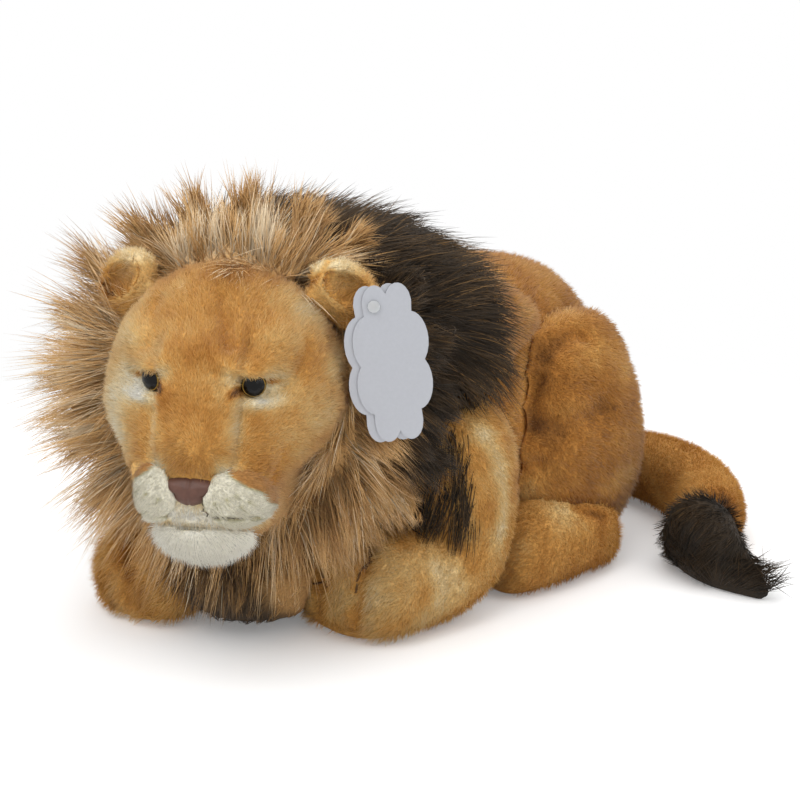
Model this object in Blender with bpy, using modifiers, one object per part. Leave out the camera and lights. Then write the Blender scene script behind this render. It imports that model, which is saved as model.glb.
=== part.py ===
"""Plush lion lying on its belly with its head turned to its left.

All sizes are in metres. The lion faces -Y, +Z is up and its left side is +X.
The origin is the middle of the flat face that the belly rests on.
"""
import math

import bmesh
import bpy
from mathutils import Matrix, Vector
from mathutils.bvhtree import BVHTree

# Clearances and shared values
GAP = 0.0003
OVERRUN = 0.004
FLOOR_SINK = 0.0005
MERGE_DISTANCE = 0.00001
FLAT_UNDERSIDE = 0.70
SIDES = 10
FINE_SIDES = 16
BALL_SIDES = 12
BALL_BANDS = 8
PIVOT_SIDES = 24
PIVOT_CLEARANCE = 0.0008

# Torso
TORSO_LENGTH = 0.294
TORSO_HALF_WIDTH = 0.078
TORSO_HEIGHT = 0.166
TORSO_FRONT_Y = -0.128
# Each row: place along the length, half width, top and bottom
TORSO_SHARES = (
    (0.00, 0.42, 0.80, 0.52),
    (0.12, 0.74, 0.97, 0.30),
    (0.28, 0.90, 1.00, 0.00),
    (0.48, 0.94, 0.97, 0.00),
    (0.68, 1.00, 1.01, 0.00),
    (0.84, 0.91, 0.88, 0.00),
    (0.94, 0.66, 0.64, 0.00),
    (1.00, 0.32, 0.40, 0.10),
)

# Hind legs
THIGH_X = 0.058
THIGH_Y = 0.069
THIGH_Z = 0.070
THIGH_HALF_WIDTH = 0.043
THIGH_HALF_LENGTH = 0.066
THIGH_HALF_HEIGHT = 0.072
HIND_FOOT_X = 0.076
HIND_FOOT_FRONT_Y = -0.012
HIND_FOOT_LENGTH = 0.093
HIND_FOOT_HALF_WIDTH = 0.026
HIND_FOOT_HEIGHT = 0.051
HIND_FOOT_TURN = math.radians(7)
HIND_FOOT_SHARES = (
    (0.00, 0.55, 0.62),
    (0.12, 0.97, 0.96),
    (0.45, 0.97, 1.00),
    (0.86, 0.84, 0.92),
    (1.00, 0.45, 0.55),
)

# Forelegs, each turning about a vertical line through its shoulder
SHOULDER_X = 0.068
SHOULDER_Y = -0.042
ARM_RADIUS = 0.035
ARM_CLEARANCE = 0.0019
ARM_HEIGHT = 0.116
FOREARM_HEIGHT = 0.055
PAW_HALF_WIDTH = 0.039
LEFT_REACH = 0.070
RIGHT_REACH = 0.126
LEFT_PAW_INSET = 0.020
RIGHT_PAW_INSET = 0.018
# Upright part: height and radius
ARM_SHARES = (
    (1.00, 0.50),
    (0.90, 0.92),
    (0.58, 1.00),
)
# Lying part: place along the reach, half width and height
FOREARM_SHARES = (
    (0.26, 0.92, 1.04),
    (0.56, 0.91, 0.97),
    (0.86, 1.00, 0.96),
    (1.00, 0.66, 0.58),
)
ELBOW_HEIGHT_SHARE = 0.30
ELBOW_RADIUS_SHARE = 0.94

# Neck joint and head, in a frame turned to face along the nose
NECK_Y = -0.114
NECK_Z = 0.118
NECK_RADIUS = 0.0465
HEAD_TURN = math.radians(27)
HEAD_SWING_LEFT = math.radians(4)
HEAD_SWING_RIGHT = math.radians(24)
HEAD_BACK = 0.0105
HEAD_LENGTH = 0.0995
HEAD_HALF_WIDTH = 0.059
HEAD_TOP = 0.083
HEAD_BOTTOM = 0.047
# Each row: place along the head, half width, top and bottom
HEAD_SHARES = (
    (0.00, 0.74, 0.66, 0.60),
    (0.18, 0.97, 0.98, 0.90),
    (0.44, 1.03, 1.05, 0.99),
    (0.66, 0.92, 0.82, 1.02),
    (0.83, 0.67, 0.36, 0.90),
    (0.96, 0.48, 0.06, 0.62),
    (1.00, 0.30, -0.16, 0.50),
)

# Muzzle
LIP_X = 0.0180
LIP_FORWARD = 0.097
LIP_DROP = 0.0145
LIP_HALF_WIDTH = 0.0205
LIP_HALF_DEPTH = 0.0190
LIP_HALF_HEIGHT = 0.0165
CHIN_FORWARD = 0.090
CHIN_DROP = 0.0365
CHIN_HALF_WIDTH = 0.0250
CHIN_HALF_DEPTH = 0.0180
CHIN_HALF_HEIGHT = 0.0150
NOSE_FORWARD = 0.108
NOSE_DROP = 0.009
NOSE_HALF_WIDTH = 0.0151
NOSE_HALF_HEIGHT = 0.0092
NOSE_HALF_DEPTH = 0.0060
NOSE_TILT = math.radians(-25)
NOSE_BASE_SHARE = 0.62
# Each row: depth and size
NOSE_SHARES = (
    (-1.00, 0.92),
    (0.10, 1.00),
    (0.75, 0.82),
    (1.00, 0.45),
)

# Eyes, with a shank through the skin and a washer behind it
EYE_X = 0.0245
EYE_RISE = 0.0355
EYE_RADIUS = 0.0062
EYE_DOME_HEIGHT = 0.0042
EYE_RIM = 0.0010
EYE_STEPS = 5
EYE_SEAT_DEPTH = 0.0012
SHANK_RADIUS = 0.0020
SHANK_LENGTH = 0.0110
WASHER_RADIUS = 0.0060
WASHER_THICKNESS = 0.0014
WASHER_DEPTH = 0.0062
EYE_SPLAY = math.radians(24)

# Ears, each folding about its root
EAR_X = 0.0485
EAR_RISE = 0.062
EAR_FORWARD = 0.036
EAR_LEAN = math.radians(38)
EAR_YAW = math.radians(18)
EAR_HALF_WIDTH = 0.0185
EAR_HALF_HEIGHT = 0.0130
EAR_HALF_DEPTH = 0.0085
EAR_CENTRE_RISE = 0.0115
EAR_ROOT_RADIUS = 0.0048
EAR_ROOT_HALF_LENGTH = 0.0130
EAR_RIM = 0.0038
EAR_DISH_OFFSET = 0.0075
EAR_ROOM = 0.0055
LINING_THICKNESS = 0.0022

# Mane
RUFF_LOCKS = 20
RUFF_RISE = 0.012
RUFF_BACK = 0.0095
RUFF_DEPTH = 0.030
RUFF_TIP_RADIUS = 0.116
RUFF_VALLEY_RADIUS = 0.090
RUFF_FRONT_RADIUS = 0.071
RUFF_INNER_RADIUS = 0.030
RUFF_ROOT_DEPTH = 0.010
RUFF_ROOT_RADIUS = 0.085
RUFF_FLOOR = 0.0620
CAPE_LENGTH = 0.205
CAPE_FRONT_Y = -0.158
CAPE_HALF_WIDTH = 0.094
CAPE_HEIGHT = 0.218
CAPE_SHARES = (
    (0.00, 0.74, 0.86, 0.46),
    (0.16, 0.94, 0.97, 0.42),
    (0.46, 1.00, 0.99, 0.40),
    (0.74, 0.94, 0.89, 0.48),
    (0.92, 0.87, 0.79, 0.58),
    (1.00, 0.68, 0.70, 0.62),
)
BIB_X = 0.000
BIB_Y = -0.107
BIB_HALF_WIDTH = 0.0440
BIB_HALF_LENGTH = 0.0560
BIB_TOP = 0.0600
BIB_BOTTOM = 0.0090
BIB_SWELL_SHARE = 1.5
BIB_ROOM = 0.0010
BIB_ROOM_TURNS = tuple(math.radians(turn) for turn in range(2, 24, 2))

# Tail, turning about a vertical line through its root
TAIL_ROOT_X = 0.0
TAIL_ROOT_Y = 0.168
TAIL_ROOT_RADIUS = 0.0225
TAIL_RADIUS = 0.0208
TAIL_REACH = 0.132
TAIL_REAR_REACH = 0.100
# Each row: place to the side, place to the rear, radius
TAIL_SHARES = (
    (0.00, 0.00, 0.78),
    (0.07, 0.12, 0.84),
    (0.22, 0.20, 0.92),
    (0.46, 0.16, 1.02),
    (0.74, -0.02, 1.02),
    (0.94, -0.30, 0.98),
    (1.02, -0.60, 0.92),
)
TUFT_LENGTH = 0.070
TUFT_RADIUS = 0.0215
TUFT_OVERLAP = 0.012
TUFT_TURN = math.radians(8)
TUFT_SHARES = (
    (0.00, 0.60, 0.00),
    (0.14, 0.92, 0.00),
    (0.40, 1.00, 0.00),
    (0.66, 0.88, 0.10),
    (0.88, 0.54, 0.34),
    (1.00, 0.14, 0.68),
)

# How far the large flat cutters reach
FAR = TORSO_LENGTH + TAIL_REACH

# Hang tag, a folded card on a plastic barb through the left ear
TAG_EAR_SHARES = (0.62, 0.38)
TAG_STAND = 0.023
TAG_TURN = math.radians(46)
TAG_TILT = math.radians(6)
TAG_WIDTH = 0.0365
TAG_HEIGHT = 0.078
TAG_STEPS = 72
# Each lobe's middle and half sizes, as shares of the card's own half width and half height.
TAG_LOBE_SHARES = (
    (0.30, 0.755, 0.35, 0.245),
    (0.55, 0.270, 0.45, 0.360),
    (0.55, -0.270, 0.45, 0.360),
    (0.30, -0.755, 0.34, 0.245),
)
TAG_CARD = 0.0006
TAG_HOLE_RADIUS = 0.0018
TAG_HOLE_DROP = 0.010
TAG_HOLE_SIDE = 0.0062
TAG_FOLD_SHIFT = 0.004
BARB_RADIUS = 0.0011
BARB_HEAD_RADIUS = 0.0030
BARB_HEAD_THICKNESS = 0.0009
BARB_TAIL = 0.0055

TAN = ("tan_short_pile", "C08E50", 0.95)
CREAM = ("cream_short_pile", "EAE4D2", 0.95)
MANE_TAN = ("tan_long_pile", "9C7850", 0.90)
MANE_DARK = ("dark_brown_long_pile", "3B3128", 0.90)
NOSE_BROWN = ("brown_leatherette", "65463F", 0.45)
EYE_AMBER = ("amber_black_acrylic", "2A1D10", 0.12)
WASHER_WHITE = ("white_nylon", "E4E2DC", 0.50)
CARD = ("white_coated_card", "E3E6EA", 0.40)
BARB_CLEAR = ("clear_nylon", "D8DADC", 0.30)


def clear_scene():
    """Remove every object that the file opened with."""
    for thing in list(bpy.data.objects):
        bpy.data.objects.remove(thing, do_unlink=True)


def new_collection(name):
    """Add a collection to the scene."""
    group = bpy.data.collections.new(name)
    bpy.context.scene.collection.children.link(group)
    return group


def linear(channel):
    """Turn one sRGB channel to linear light."""
    if channel <= 0.04045:
        return channel / 12.92
    return ((channel + 0.055) / 1.055) ** 2.4


def material(name, finish):
    """Make the material of one piece from a finish: its name, colour and roughness."""
    label, colour, roughness = finish
    made = bpy.data.materials.new(f"{name}_{label}")
    made.use_nodes = True
    shader = made.node_tree.nodes["Principled BSDF"]
    channels = [linear(int(colour[at:at + 2], 16) / 255) for at in (0, 2, 4)]
    shader.inputs["Base Color"].default_value = (*channels, 1.0)
    shader.inputs["Roughness"].default_value = roughness
    shader.inputs["Metallic"].default_value = 0.0
    made.diffuse_color = (*channels, 1.0)
    return made


def empty(name, location, rotation=(0.0, 0.0, 0.0), parent=None):
    """Add an empty that carries the pieces of one joint."""
    joint = bpy.data.objects.new(name, None)
    joint.location = location
    joint.rotation_euler = rotation
    joint.parent = parent
    PARTS.objects.link(joint)
    return joint


def add_object(name, mesh, group, parent=None, location=(0.0, 0.0, 0.0), rotation=(0.0, 0.0, 0.0)):
    """Put a mesh in a collection, placed under its parent."""
    piece = bpy.data.objects.new(name, mesh)
    piece.location = location
    piece.rotation_euler = rotation
    piece.parent = parent
    group.objects.link(piece)
    return piece


def add_cutter(name, mesh, parent=None, location=(0.0, 0.0, 0.0), rotation=(0.0, 0.0, 0.0)):
    """Add a shape that only cuts or joins others."""
    tool = add_object(name, mesh, CUTTERS, parent, location, rotation)
    tool.hide_render = True
    tool.display_type = "WIRE"
    return tool


def add_piece(name, mesh, finish, parent=None, location=(0.0, 0.0, 0.0), rotation=(0.0, 0.0, 0.0)):
    """Add one named piece of the lion with its own material."""
    mesh.materials.append(material(name, finish))
    mesh.shade_smooth()
    return add_object(name, mesh, PARTS, parent, location, rotation)


def mesh_from(bm, name):
    """Turn a bmesh into a mesh whose faces point outwards."""
    bmesh.ops.recalc_face_normals(bm, faces=bm.faces)
    mesh = bpy.data.meshes.new(name)
    bm.to_mesh(mesh)
    bm.free()
    return mesh


def cage_growth(sides):
    """How much wider a ring is drawn, as smoothing draws it in by the same amount."""
    return 3.0 / (2.0 + math.cos(2.0 * math.pi / sides))


def loft(name, rings, sides=SIDES, underside=1.0):
    """Bridge rings into a closed cage. A ring is a centre, a side axis, an up axis and two radii."""
    bm = bmesh.new()
    growth = cage_growth(sides)
    loops = []
    for centre, side, up, half_width, half_height in rings:
        frame = Matrix.Identity(4)
        frame.col[0].xyz = side * (half_width * growth)
        frame.col[1].xyz = up * (half_height * growth)
        frame.col[2].xyz = side.cross(up)
        frame.col[3].xyz = centre
        made = bmesh.ops.create_circle(bm, segments=sides, radius=1.0)
        for vert in made["verts"]:
            if vert.co.y < 0:
                vert.co.y = -(-vert.co.y) ** underside
            vert.co = frame @ vert.co
        edges = {edge for vert in made["verts"] for edge in vert.link_edges}
        loops.append(list(edges))
    for first, second in zip(loops, loops[1:]):
        bmesh.ops.bridge_loops(bm, edges=first + second)
    bmesh.ops.holes_fill(bm, edges=bm.edges, sides=sides)
    return mesh_from(bm, name)


def upright_rings(shares, start, length, half_width, top, bottom, sink=0.0):
    """Rings that stand across Y, from rows of place, half width, top and bottom."""
    rings = []
    for place, width, high, low in shares:
        upper = top * high
        lower = bottom * low - sink
        centre = Vector((0, start + length * place, (upper + lower) / 2))
        rings.append((centre, Vector((1, 0, 0)), Vector((0, 0, 1)), half_width * width, (upper - lower) / 2))
    return rings


def ellipsoid(name, radii, centre=(0.0, 0.0, 0.0), sides=BALL_SIDES, bands=BALL_BANDS):
    """A sphere scaled to three radii about its centre."""
    bm = bmesh.new()
    bmesh.ops.create_uvsphere(bm, u_segments=sides, v_segments=bands, radius=1.0)
    bmesh.ops.scale(bm, vec=radii, verts=bm.verts)
    bmesh.ops.translate(bm, vec=centre, verts=bm.verts)
    return mesh_from(bm, name)


def pivot(name, radius, centre, joint):
    """A ball and the socket that it turns in, as two cutters."""
    ball = ellipsoid(f"{name}_ball", (radius,) * 3, centre, PIVOT_SIDES)
    room = ellipsoid(f"{name}_socket", (radius + PIVOT_CLEARANCE,) * 3, centre, PIVOT_SIDES)
    return add_cutter(f"{name}_ball", ball, joint), add_cutter(f"{name}_socket", room, joint)


def box(name, low, high):
    """A box between two corners."""
    bm = bmesh.new()
    bmesh.ops.create_cube(bm, size=1.0)
    size = Vector(high) - Vector(low)
    bmesh.ops.scale(bm, vec=size, verts=bm.verts)
    bmesh.ops.translate(bm, vec=(Vector(high) + Vector(low)) / 2, verts=bm.verts)
    return mesh_from(bm, name)


def turned(name, profile, sides=FINE_SIDES):
    """Turn a profile of (radius, height) points, top to bottom, about Z."""
    bm = bmesh.new()
    closed = profile[0] == profile[-1]
    points = [bm.verts.new((radius, 0.0, height)) for radius, height in (profile[:-1] if closed else profile)]
    for first, second in zip(points, points[1:] + points[:1] if closed else points[1:]):
        bm.edges.new((first, second))
    outline = bpy.data.meshes.new(f"{name}_profile")
    bm.to_mesh(outline)
    bm.free()
    blank = bpy.data.objects.new(f"{name}_blank", outline)
    CUTTERS.objects.link(blank)
    screw = blank.modifiers.new("Turn", "SCREW")
    screw.steps = sides
    screw.render_steps = sides
    screw.use_merge_vertices = True
    screw.merge_threshold = MERGE_DISTANCE
    mesh = bpy.data.meshes.new_from_object(blank.evaluated_get(bpy.context.evaluated_depsgraph_get()))
    bpy.data.objects.remove(blank, do_unlink=True)
    return mesh


def dome(radius, base, rise, steps):
    """Points of a quarter round, from its top on the axis to its rim."""
    turns = [math.pi / 2 * at / steps for at in range(1, steps)]
    points = [(radius * math.sin(turn), base + rise * math.cos(turn)) for turn in turns]
    return [(0.0, base + rise)] + points + [(radius, base)]


def smooth(piece):
    """Round a cage with a Subdivision Surface and fix how its bent faces split."""
    rounding = piece.modifiers.new("Round", "SUBSURF")
    rounding.levels = 1
    rounding.render_levels = 1
    piece.modifiers.new("Split", "TRIANGULATE")
    return piece


def cut(piece, *tools, solver="EXACT"):
    """Take the shape of each tool out of a piece."""
    for tool in tools:
        change = piece.modifiers.new(f"Cut_{tool.name}", "BOOLEAN")
        change.operation = "DIFFERENCE"
        change.solver = solver
        change.object = tool


def join(piece, tool):
    """Fuse the shape of a tool to a piece."""
    change = piece.modifiers.new(f"Join_{tool.name}", "BOOLEAN")
    change.operation = "UNION"
    change.solver = "EXACT"
    change.object = tool


def grown(piece, distance=GAP):
    """A cutter with a piece's present shape, pushed out all round by a distance."""
    bpy.context.view_layer.update()
    mesh = bpy.data.meshes.new_from_object(piece.evaluated_get(bpy.context.evaluated_depsgraph_get()))
    bm = bmesh.new()
    bm.from_mesh(mesh)
    bm.normal_update()
    moves = [(vert, vert.normal * distance) for vert in bm.verts]
    for vert, move in moves:
        vert.co += move
    bm.to_mesh(mesh)
    bm.free()
    mesh.materials.clear()
    tool = add_cutter(f"{piece.name}_seat", mesh, piece.parent, piece.location, piece.rotation_euler)
    return tool


def floor_cutter():
    """A slab whose top is the plane that the lion lies on."""
    return add_cutter("floor", box("floor", (-FAR, -FAR, -FAR), (FAR, FAR, 0.0)))


def build_torso():
    """The stuffed body: chest, back, belly and rump."""
    rings = upright_rings(
        TORSO_SHARES, TORSO_FRONT_Y, TORSO_LENGTH, TORSO_HALF_WIDTH, TORSO_HEIGHT, TORSO_HEIGHT, FLOOR_SINK)
    return smooth(add_piece("torso", loft("torso", rings, underside=FLAT_UNDERSIDE), TAN))


def build_thigh(side_name, side):
    """A haunch, sewn flat against the flank."""
    radii = (THIGH_HALF_WIDTH, THIGH_HALF_LENGTH, THIGH_HALF_HEIGHT)
    shape = ellipsoid(f"{side_name}_thigh", radii)
    return add_piece(f"{side_name}_thigh", shape, TAN, location=(side * THIGH_X, THIGH_Y, THIGH_Z))


def build_hind_foot(side_name, side):
    """A hind foot lying under the haunch, toes forward."""
    rings = []
    for place, width, height in HIND_FOOT_SHARES:
        half_height = (HIND_FOOT_HEIGHT * height + FLOOR_SINK) / 2
        centre = Vector((0, HIND_FOOT_LENGTH * place, half_height - FLOOR_SINK))
        rings.append((centre, Vector((1, 0, 0)), Vector((0, 0, 1)), HIND_FOOT_HALF_WIDTH * width, half_height))
    foot = add_piece(
        f"{side_name}_hind_foot", loft(f"{side_name}_hind_foot", rings, underside=FLAT_UNDERSIDE), TAN,
        location=(side * HIND_FOOT_X, HIND_FOOT_FRONT_Y, 0.0), rotation=(0.0, 0.0, -side * HIND_FOOT_TURN))
    return smooth(foot)


def foreleg_rings(reach, inset):
    """Rings down the upper arm, round the elbow and along the forearm to the toes."""
    side = Vector((1, 0, 0))
    rings = []
    for height, radius in ARM_SHARES:
        rings.append((Vector((0, 0, ARM_HEIGHT * height)), side, Vector((0, -1, 0)),
                      ARM_RADIUS * radius, ARM_RADIUS * radius))
    elbow_up = Vector((0, -1, 1)).normalized()
    elbow_radius = ARM_RADIUS * ELBOW_RADIUS_SHARE
    rings.append((Vector((0, 0, ARM_HEIGHT * ELBOW_HEIGHT_SHARE)), side, elbow_up, elbow_radius, elbow_radius))
    for place, width, height in FOREARM_SHARES:
        half_height = (FOREARM_HEIGHT * height + FLOOR_SINK) / 2
        rings.append((Vector((-inset * place, -reach * place, half_height - FLOOR_SINK)), side, Vector((0, 0, 1)),
                      PAW_HALF_WIDTH * width, half_height))
    return rings


def build_foreleg(side_name, joint, reach, inset):
    """A foreleg bent at the elbow, its paw flat on the floor."""
    shape = loft(f"{side_name}_foreleg", foreleg_rings(reach, inset), underside=FLAT_UNDERSIDE)
    leg = add_piece(f"{side_name}_foreleg", shape, TAN, joint)
    return smooth(leg)


def shoulder_socket(side_name, joint):
    """The room that an upper arm turns in, a round column that follows its outline."""
    profile = [(ARM_RADIUS * radius + ARM_CLEARANCE, ARM_HEIGHT * height + GAP) for height, radius in ARM_SHARES]
    profile = [(0.0, ARM_HEIGHT + GAP)] + profile + [(profile[-1][0], -OVERRUN), (0.0, -OVERRUN)]
    room = turned(f"{side_name}_shoulder_socket", profile, SIDES * 2)
    return add_cutter(f"{side_name}_shoulder_socket", room, joint)


def build_head(joint):
    """The head from the neck ball to the end of the muzzle."""
    rings = upright_rings(HEAD_SHARES, -HEAD_BACK, -HEAD_LENGTH, HEAD_HALF_WIDTH, HEAD_TOP, -HEAD_BOTTOM)
    head = smooth(add_piece("head", loft("head", rings), TAN, joint))
    seat = grown(head)
    ball, socket = pivot("neck", NECK_RADIUS, (0.0, 0.0, 0.0), joint)
    join(head, ball)
    return head, seat, socket


def head_sweeps():
    """The room in front of the shoulders for the head and ruff, at each end of their turn."""
    tools = []
    for name, turn in (("left", HEAD_TURN + HEAD_SWING_LEFT), ("right", HEAD_TURN - HEAD_SWING_RIGHT)):
        shape = box(f"{name}_head_sweep", (-FAR, -FAR, -FAR), (FAR, GAP - RUFF_BACK, FAR))
        tools.append(add_cutter(f"{name}_head_sweep", shape, None, (0.0, NECK_Y, NECK_Z), (0.0, 0.0, turn)))
    return tools


def curve_mesh(name, curve):
    """Turn a flat filled curve to a closed mesh."""
    blank = bpy.data.objects.new(name, curve)
    CUTTERS.objects.link(blank)
    mesh = bpy.data.meshes.new_from_object(blank.evaluated_get(bpy.context.evaluated_depsgraph_get()))
    bpy.data.objects.remove(blank, do_unlink=True)
    bm = bmesh.new()
    bm.from_mesh(mesh)
    bmesh.ops.remove_doubles(bm, verts=bm.verts, dist=MERGE_DISTANCE)
    bmesh.ops.recalc_face_normals(bm, faces=bm.faces)
    bm.to_mesh(mesh)
    bm.free()
    return mesh


def build_ruff(joint):
    """The tan mane round the face: a collar of pointed locks swept outwards and back."""
    bm = bmesh.new()
    steps = RUFF_LOCKS * 2
    rings = (
        (RUFF_BACK, RUFF_INNER_RADIUS, RUFF_INNER_RADIUS),
        (RUFF_BACK, RUFF_VALLEY_RADIUS, RUFF_TIP_RADIUS),
        (RUFF_BACK + RUFF_ROOT_DEPTH, RUFF_ROOT_RADIUS, RUFF_VALLEY_RADIUS),
        (RUFF_BACK + RUFF_DEPTH, RUFF_FRONT_RADIUS, RUFF_FRONT_RADIUS),
        (RUFF_BACK + RUFF_DEPTH, RUFF_INNER_RADIUS, RUFF_INNER_RADIUS),
    )
    loops = []
    for forward, valley, tip in rings:
        loop = []
        for step in range(steps):
            angle = 2 * math.pi * step / steps
            radius = valley if step % 2 else tip
            place = (radius * math.sin(angle), -forward, RUFF_RISE + radius * math.cos(angle))
            loop.append(bm.verts.new(place))
        loops.append(loop)
    for first, second in zip(loops, loops[1:] + loops[:1]):
        for step in range(steps):
            after = (step + 1) % steps
            bm.faces.new((first[step], first[after], second[after], second[step]))
    return add_piece("mane_ruff", mesh_from(bm, "mane_ruff"), MANE_TAN, joint)


def build_cape():
    """The dark mane over the neck and shoulders."""
    rings = upright_rings(CAPE_SHARES, CAPE_FRONT_Y, CAPE_LENGTH, CAPE_HALF_WIDTH, CAPE_HEIGHT, CAPE_HEIGHT)
    return smooth(add_piece("mane_cape", loft("mane_cape", rings), MANE_DARK))


def build_bib():
    """The mane under the throat, hanging between the forelegs."""
    half_height = (BIB_TOP - BIB_BOTTOM) / 2
    radii = (BIB_HALF_WIDTH, BIB_HALF_LENGTH, half_height * BIB_SWELL_SHARE)
    shape = ellipsoid("mane_bib", radii)
    return add_piece("mane_bib", shape, MANE_TAN, location=(BIB_X, BIB_Y, BIB_BOTTOM + half_height))


def build_muzzle(joint):
    """The two cream lip pads, the cream chin and the leatherette nose."""
    pads = []
    for side_name, side in SIDES_OF_BODY:
        radii = (LIP_HALF_WIDTH, LIP_HALF_DEPTH, LIP_HALF_HEIGHT)
        shape = ellipsoid(f"{side_name}_lip_pad", radii)
        pads.append(add_piece(f"{side_name}_lip_pad", shape, CREAM, joint,
                              location=(side * LIP_X, -LIP_FORWARD, -LIP_DROP)))
    radii = (CHIN_HALF_WIDTH, CHIN_HALF_DEPTH, CHIN_HALF_HEIGHT)
    chin = add_piece("chin_pad", ellipsoid("chin_pad", radii, sides=SIDES), CREAM, joint,
                     location=(0.0, -CHIN_FORWARD, -CHIN_DROP))
    return pads, chin


def build_nose(joint):
    """The nose: a soft triangle, broad at the top, padded in front."""
    bm = bmesh.new()
    loops = []
    for depth, size in NOSE_SHARES:
        loop = []
        for step in range(SIDES):
            angle = 2 * math.pi * step / SIDES
            rise = math.cos(angle)
            width = NOSE_BASE_SHARE + (1 - NOSE_BASE_SHARE) * (rise + 1) / 2
            across = NOSE_HALF_WIDTH * size * width * math.sin(angle)
            loop.append(bm.verts.new((across, -NOSE_HALF_DEPTH * depth, NOSE_HALF_HEIGHT * size * rise)))
        loops.append(loop)
    for first, second in zip(loops, loops[1:]):
        for step in range(SIDES):
            after = (step + 1) % SIDES
            bm.faces.new((first[step], first[after], second[after], second[step]))
    bm.faces.new(loops[0])
    bm.faces.new(loops[-1])
    nose = add_piece("nose", mesh_from(bm, "nose"), NOSE_BROWN, joint,
                     location=(0.0, -NOSE_FORWARD, -NOSE_DROP), rotation=(NOSE_TILT, 0.0, 0.0))
    return smooth(nose)


def surface_forward(piece, across, rise):
    """How far forward a piece's skin lies at a place across its front."""
    bpy.context.view_layer.update()
    mesh = bpy.data.meshes.new_from_object(piece.evaluated_get(bpy.context.evaluated_depsgraph_get()))
    bm = bmesh.new()
    bm.from_mesh(mesh)
    tree = BVHTree.FromBMesh(bm)
    hit = tree.ray_cast(Vector((across, -FAR, rise)), Vector((0, 1, 0)))
    bm.free()
    bpy.data.meshes.remove(mesh)
    return hit[0].y


def eye_profile():
    """Half outline of an eye: dome, rim and shank, top to bottom."""
    profile = dome(EYE_RADIUS, EYE_RIM, EYE_DOME_HEIGHT, EYE_STEPS)
    profile += [(EYE_RADIUS, 0.0), (SHANK_RADIUS, 0.0), (SHANK_RADIUS, -SHANK_LENGTH), (0.0, -SHANK_LENGTH)]
    return profile


def washer_profile():
    """Closed half outline of the ring that grips the shank."""
    inner = SHANK_RADIUS + GAP
    top = -WASHER_DEPTH
    low = top - WASHER_THICKNESS
    return [(inner, top), (WASHER_RADIUS, top), (WASHER_RADIUS, low), (inner, low), (inner, top)]


def eye_room_profile():
    """Half outline of the seat, bore and pocket that one eye and its washer fill."""
    bore = SHANK_RADIUS + GAP
    seat = EYE_RADIUS + GAP
    pocket = WASHER_RADIUS + GAP
    pocket_top = -WASHER_DEPTH + GAP
    pocket_low = -WASHER_DEPTH - WASHER_THICKNESS - GAP
    end = -SHANK_LENGTH - GAP
    return [(0.0, OVERRUN), (seat, OVERRUN), (seat, -GAP), (bore, -GAP), (bore, pocket_top), (pocket, pocket_top),
            (pocket, pocket_low), (bore, pocket_low), (bore, end), (0.0, end)]


def build_eye(side_name, side, joint, head):
    """An eye with its shank, the washer behind the skin and the room that they fill."""
    across = side * EYE_X
    skin = surface_forward(head, across, EYE_RISE)
    place = (across, skin + EYE_SEAT_DEPTH, EYE_RISE)
    aim = (math.pi / 2, 0.0, side * EYE_SPLAY)
    eye = add_piece(f"{side_name}_eye", turned(f"{side_name}_eye", eye_profile()), EYE_AMBER, joint, place, aim)
    add_piece(f"{side_name}_eye_washer", turned(f"{side_name}_eye_washer", washer_profile()),
              WASHER_WHITE, joint, place, aim)
    room = turned(f"{side_name}_eye_room", eye_room_profile())
    cut(head, add_cutter(f"{side_name}_eye_room", room, joint, place, aim))
    return eye


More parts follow.
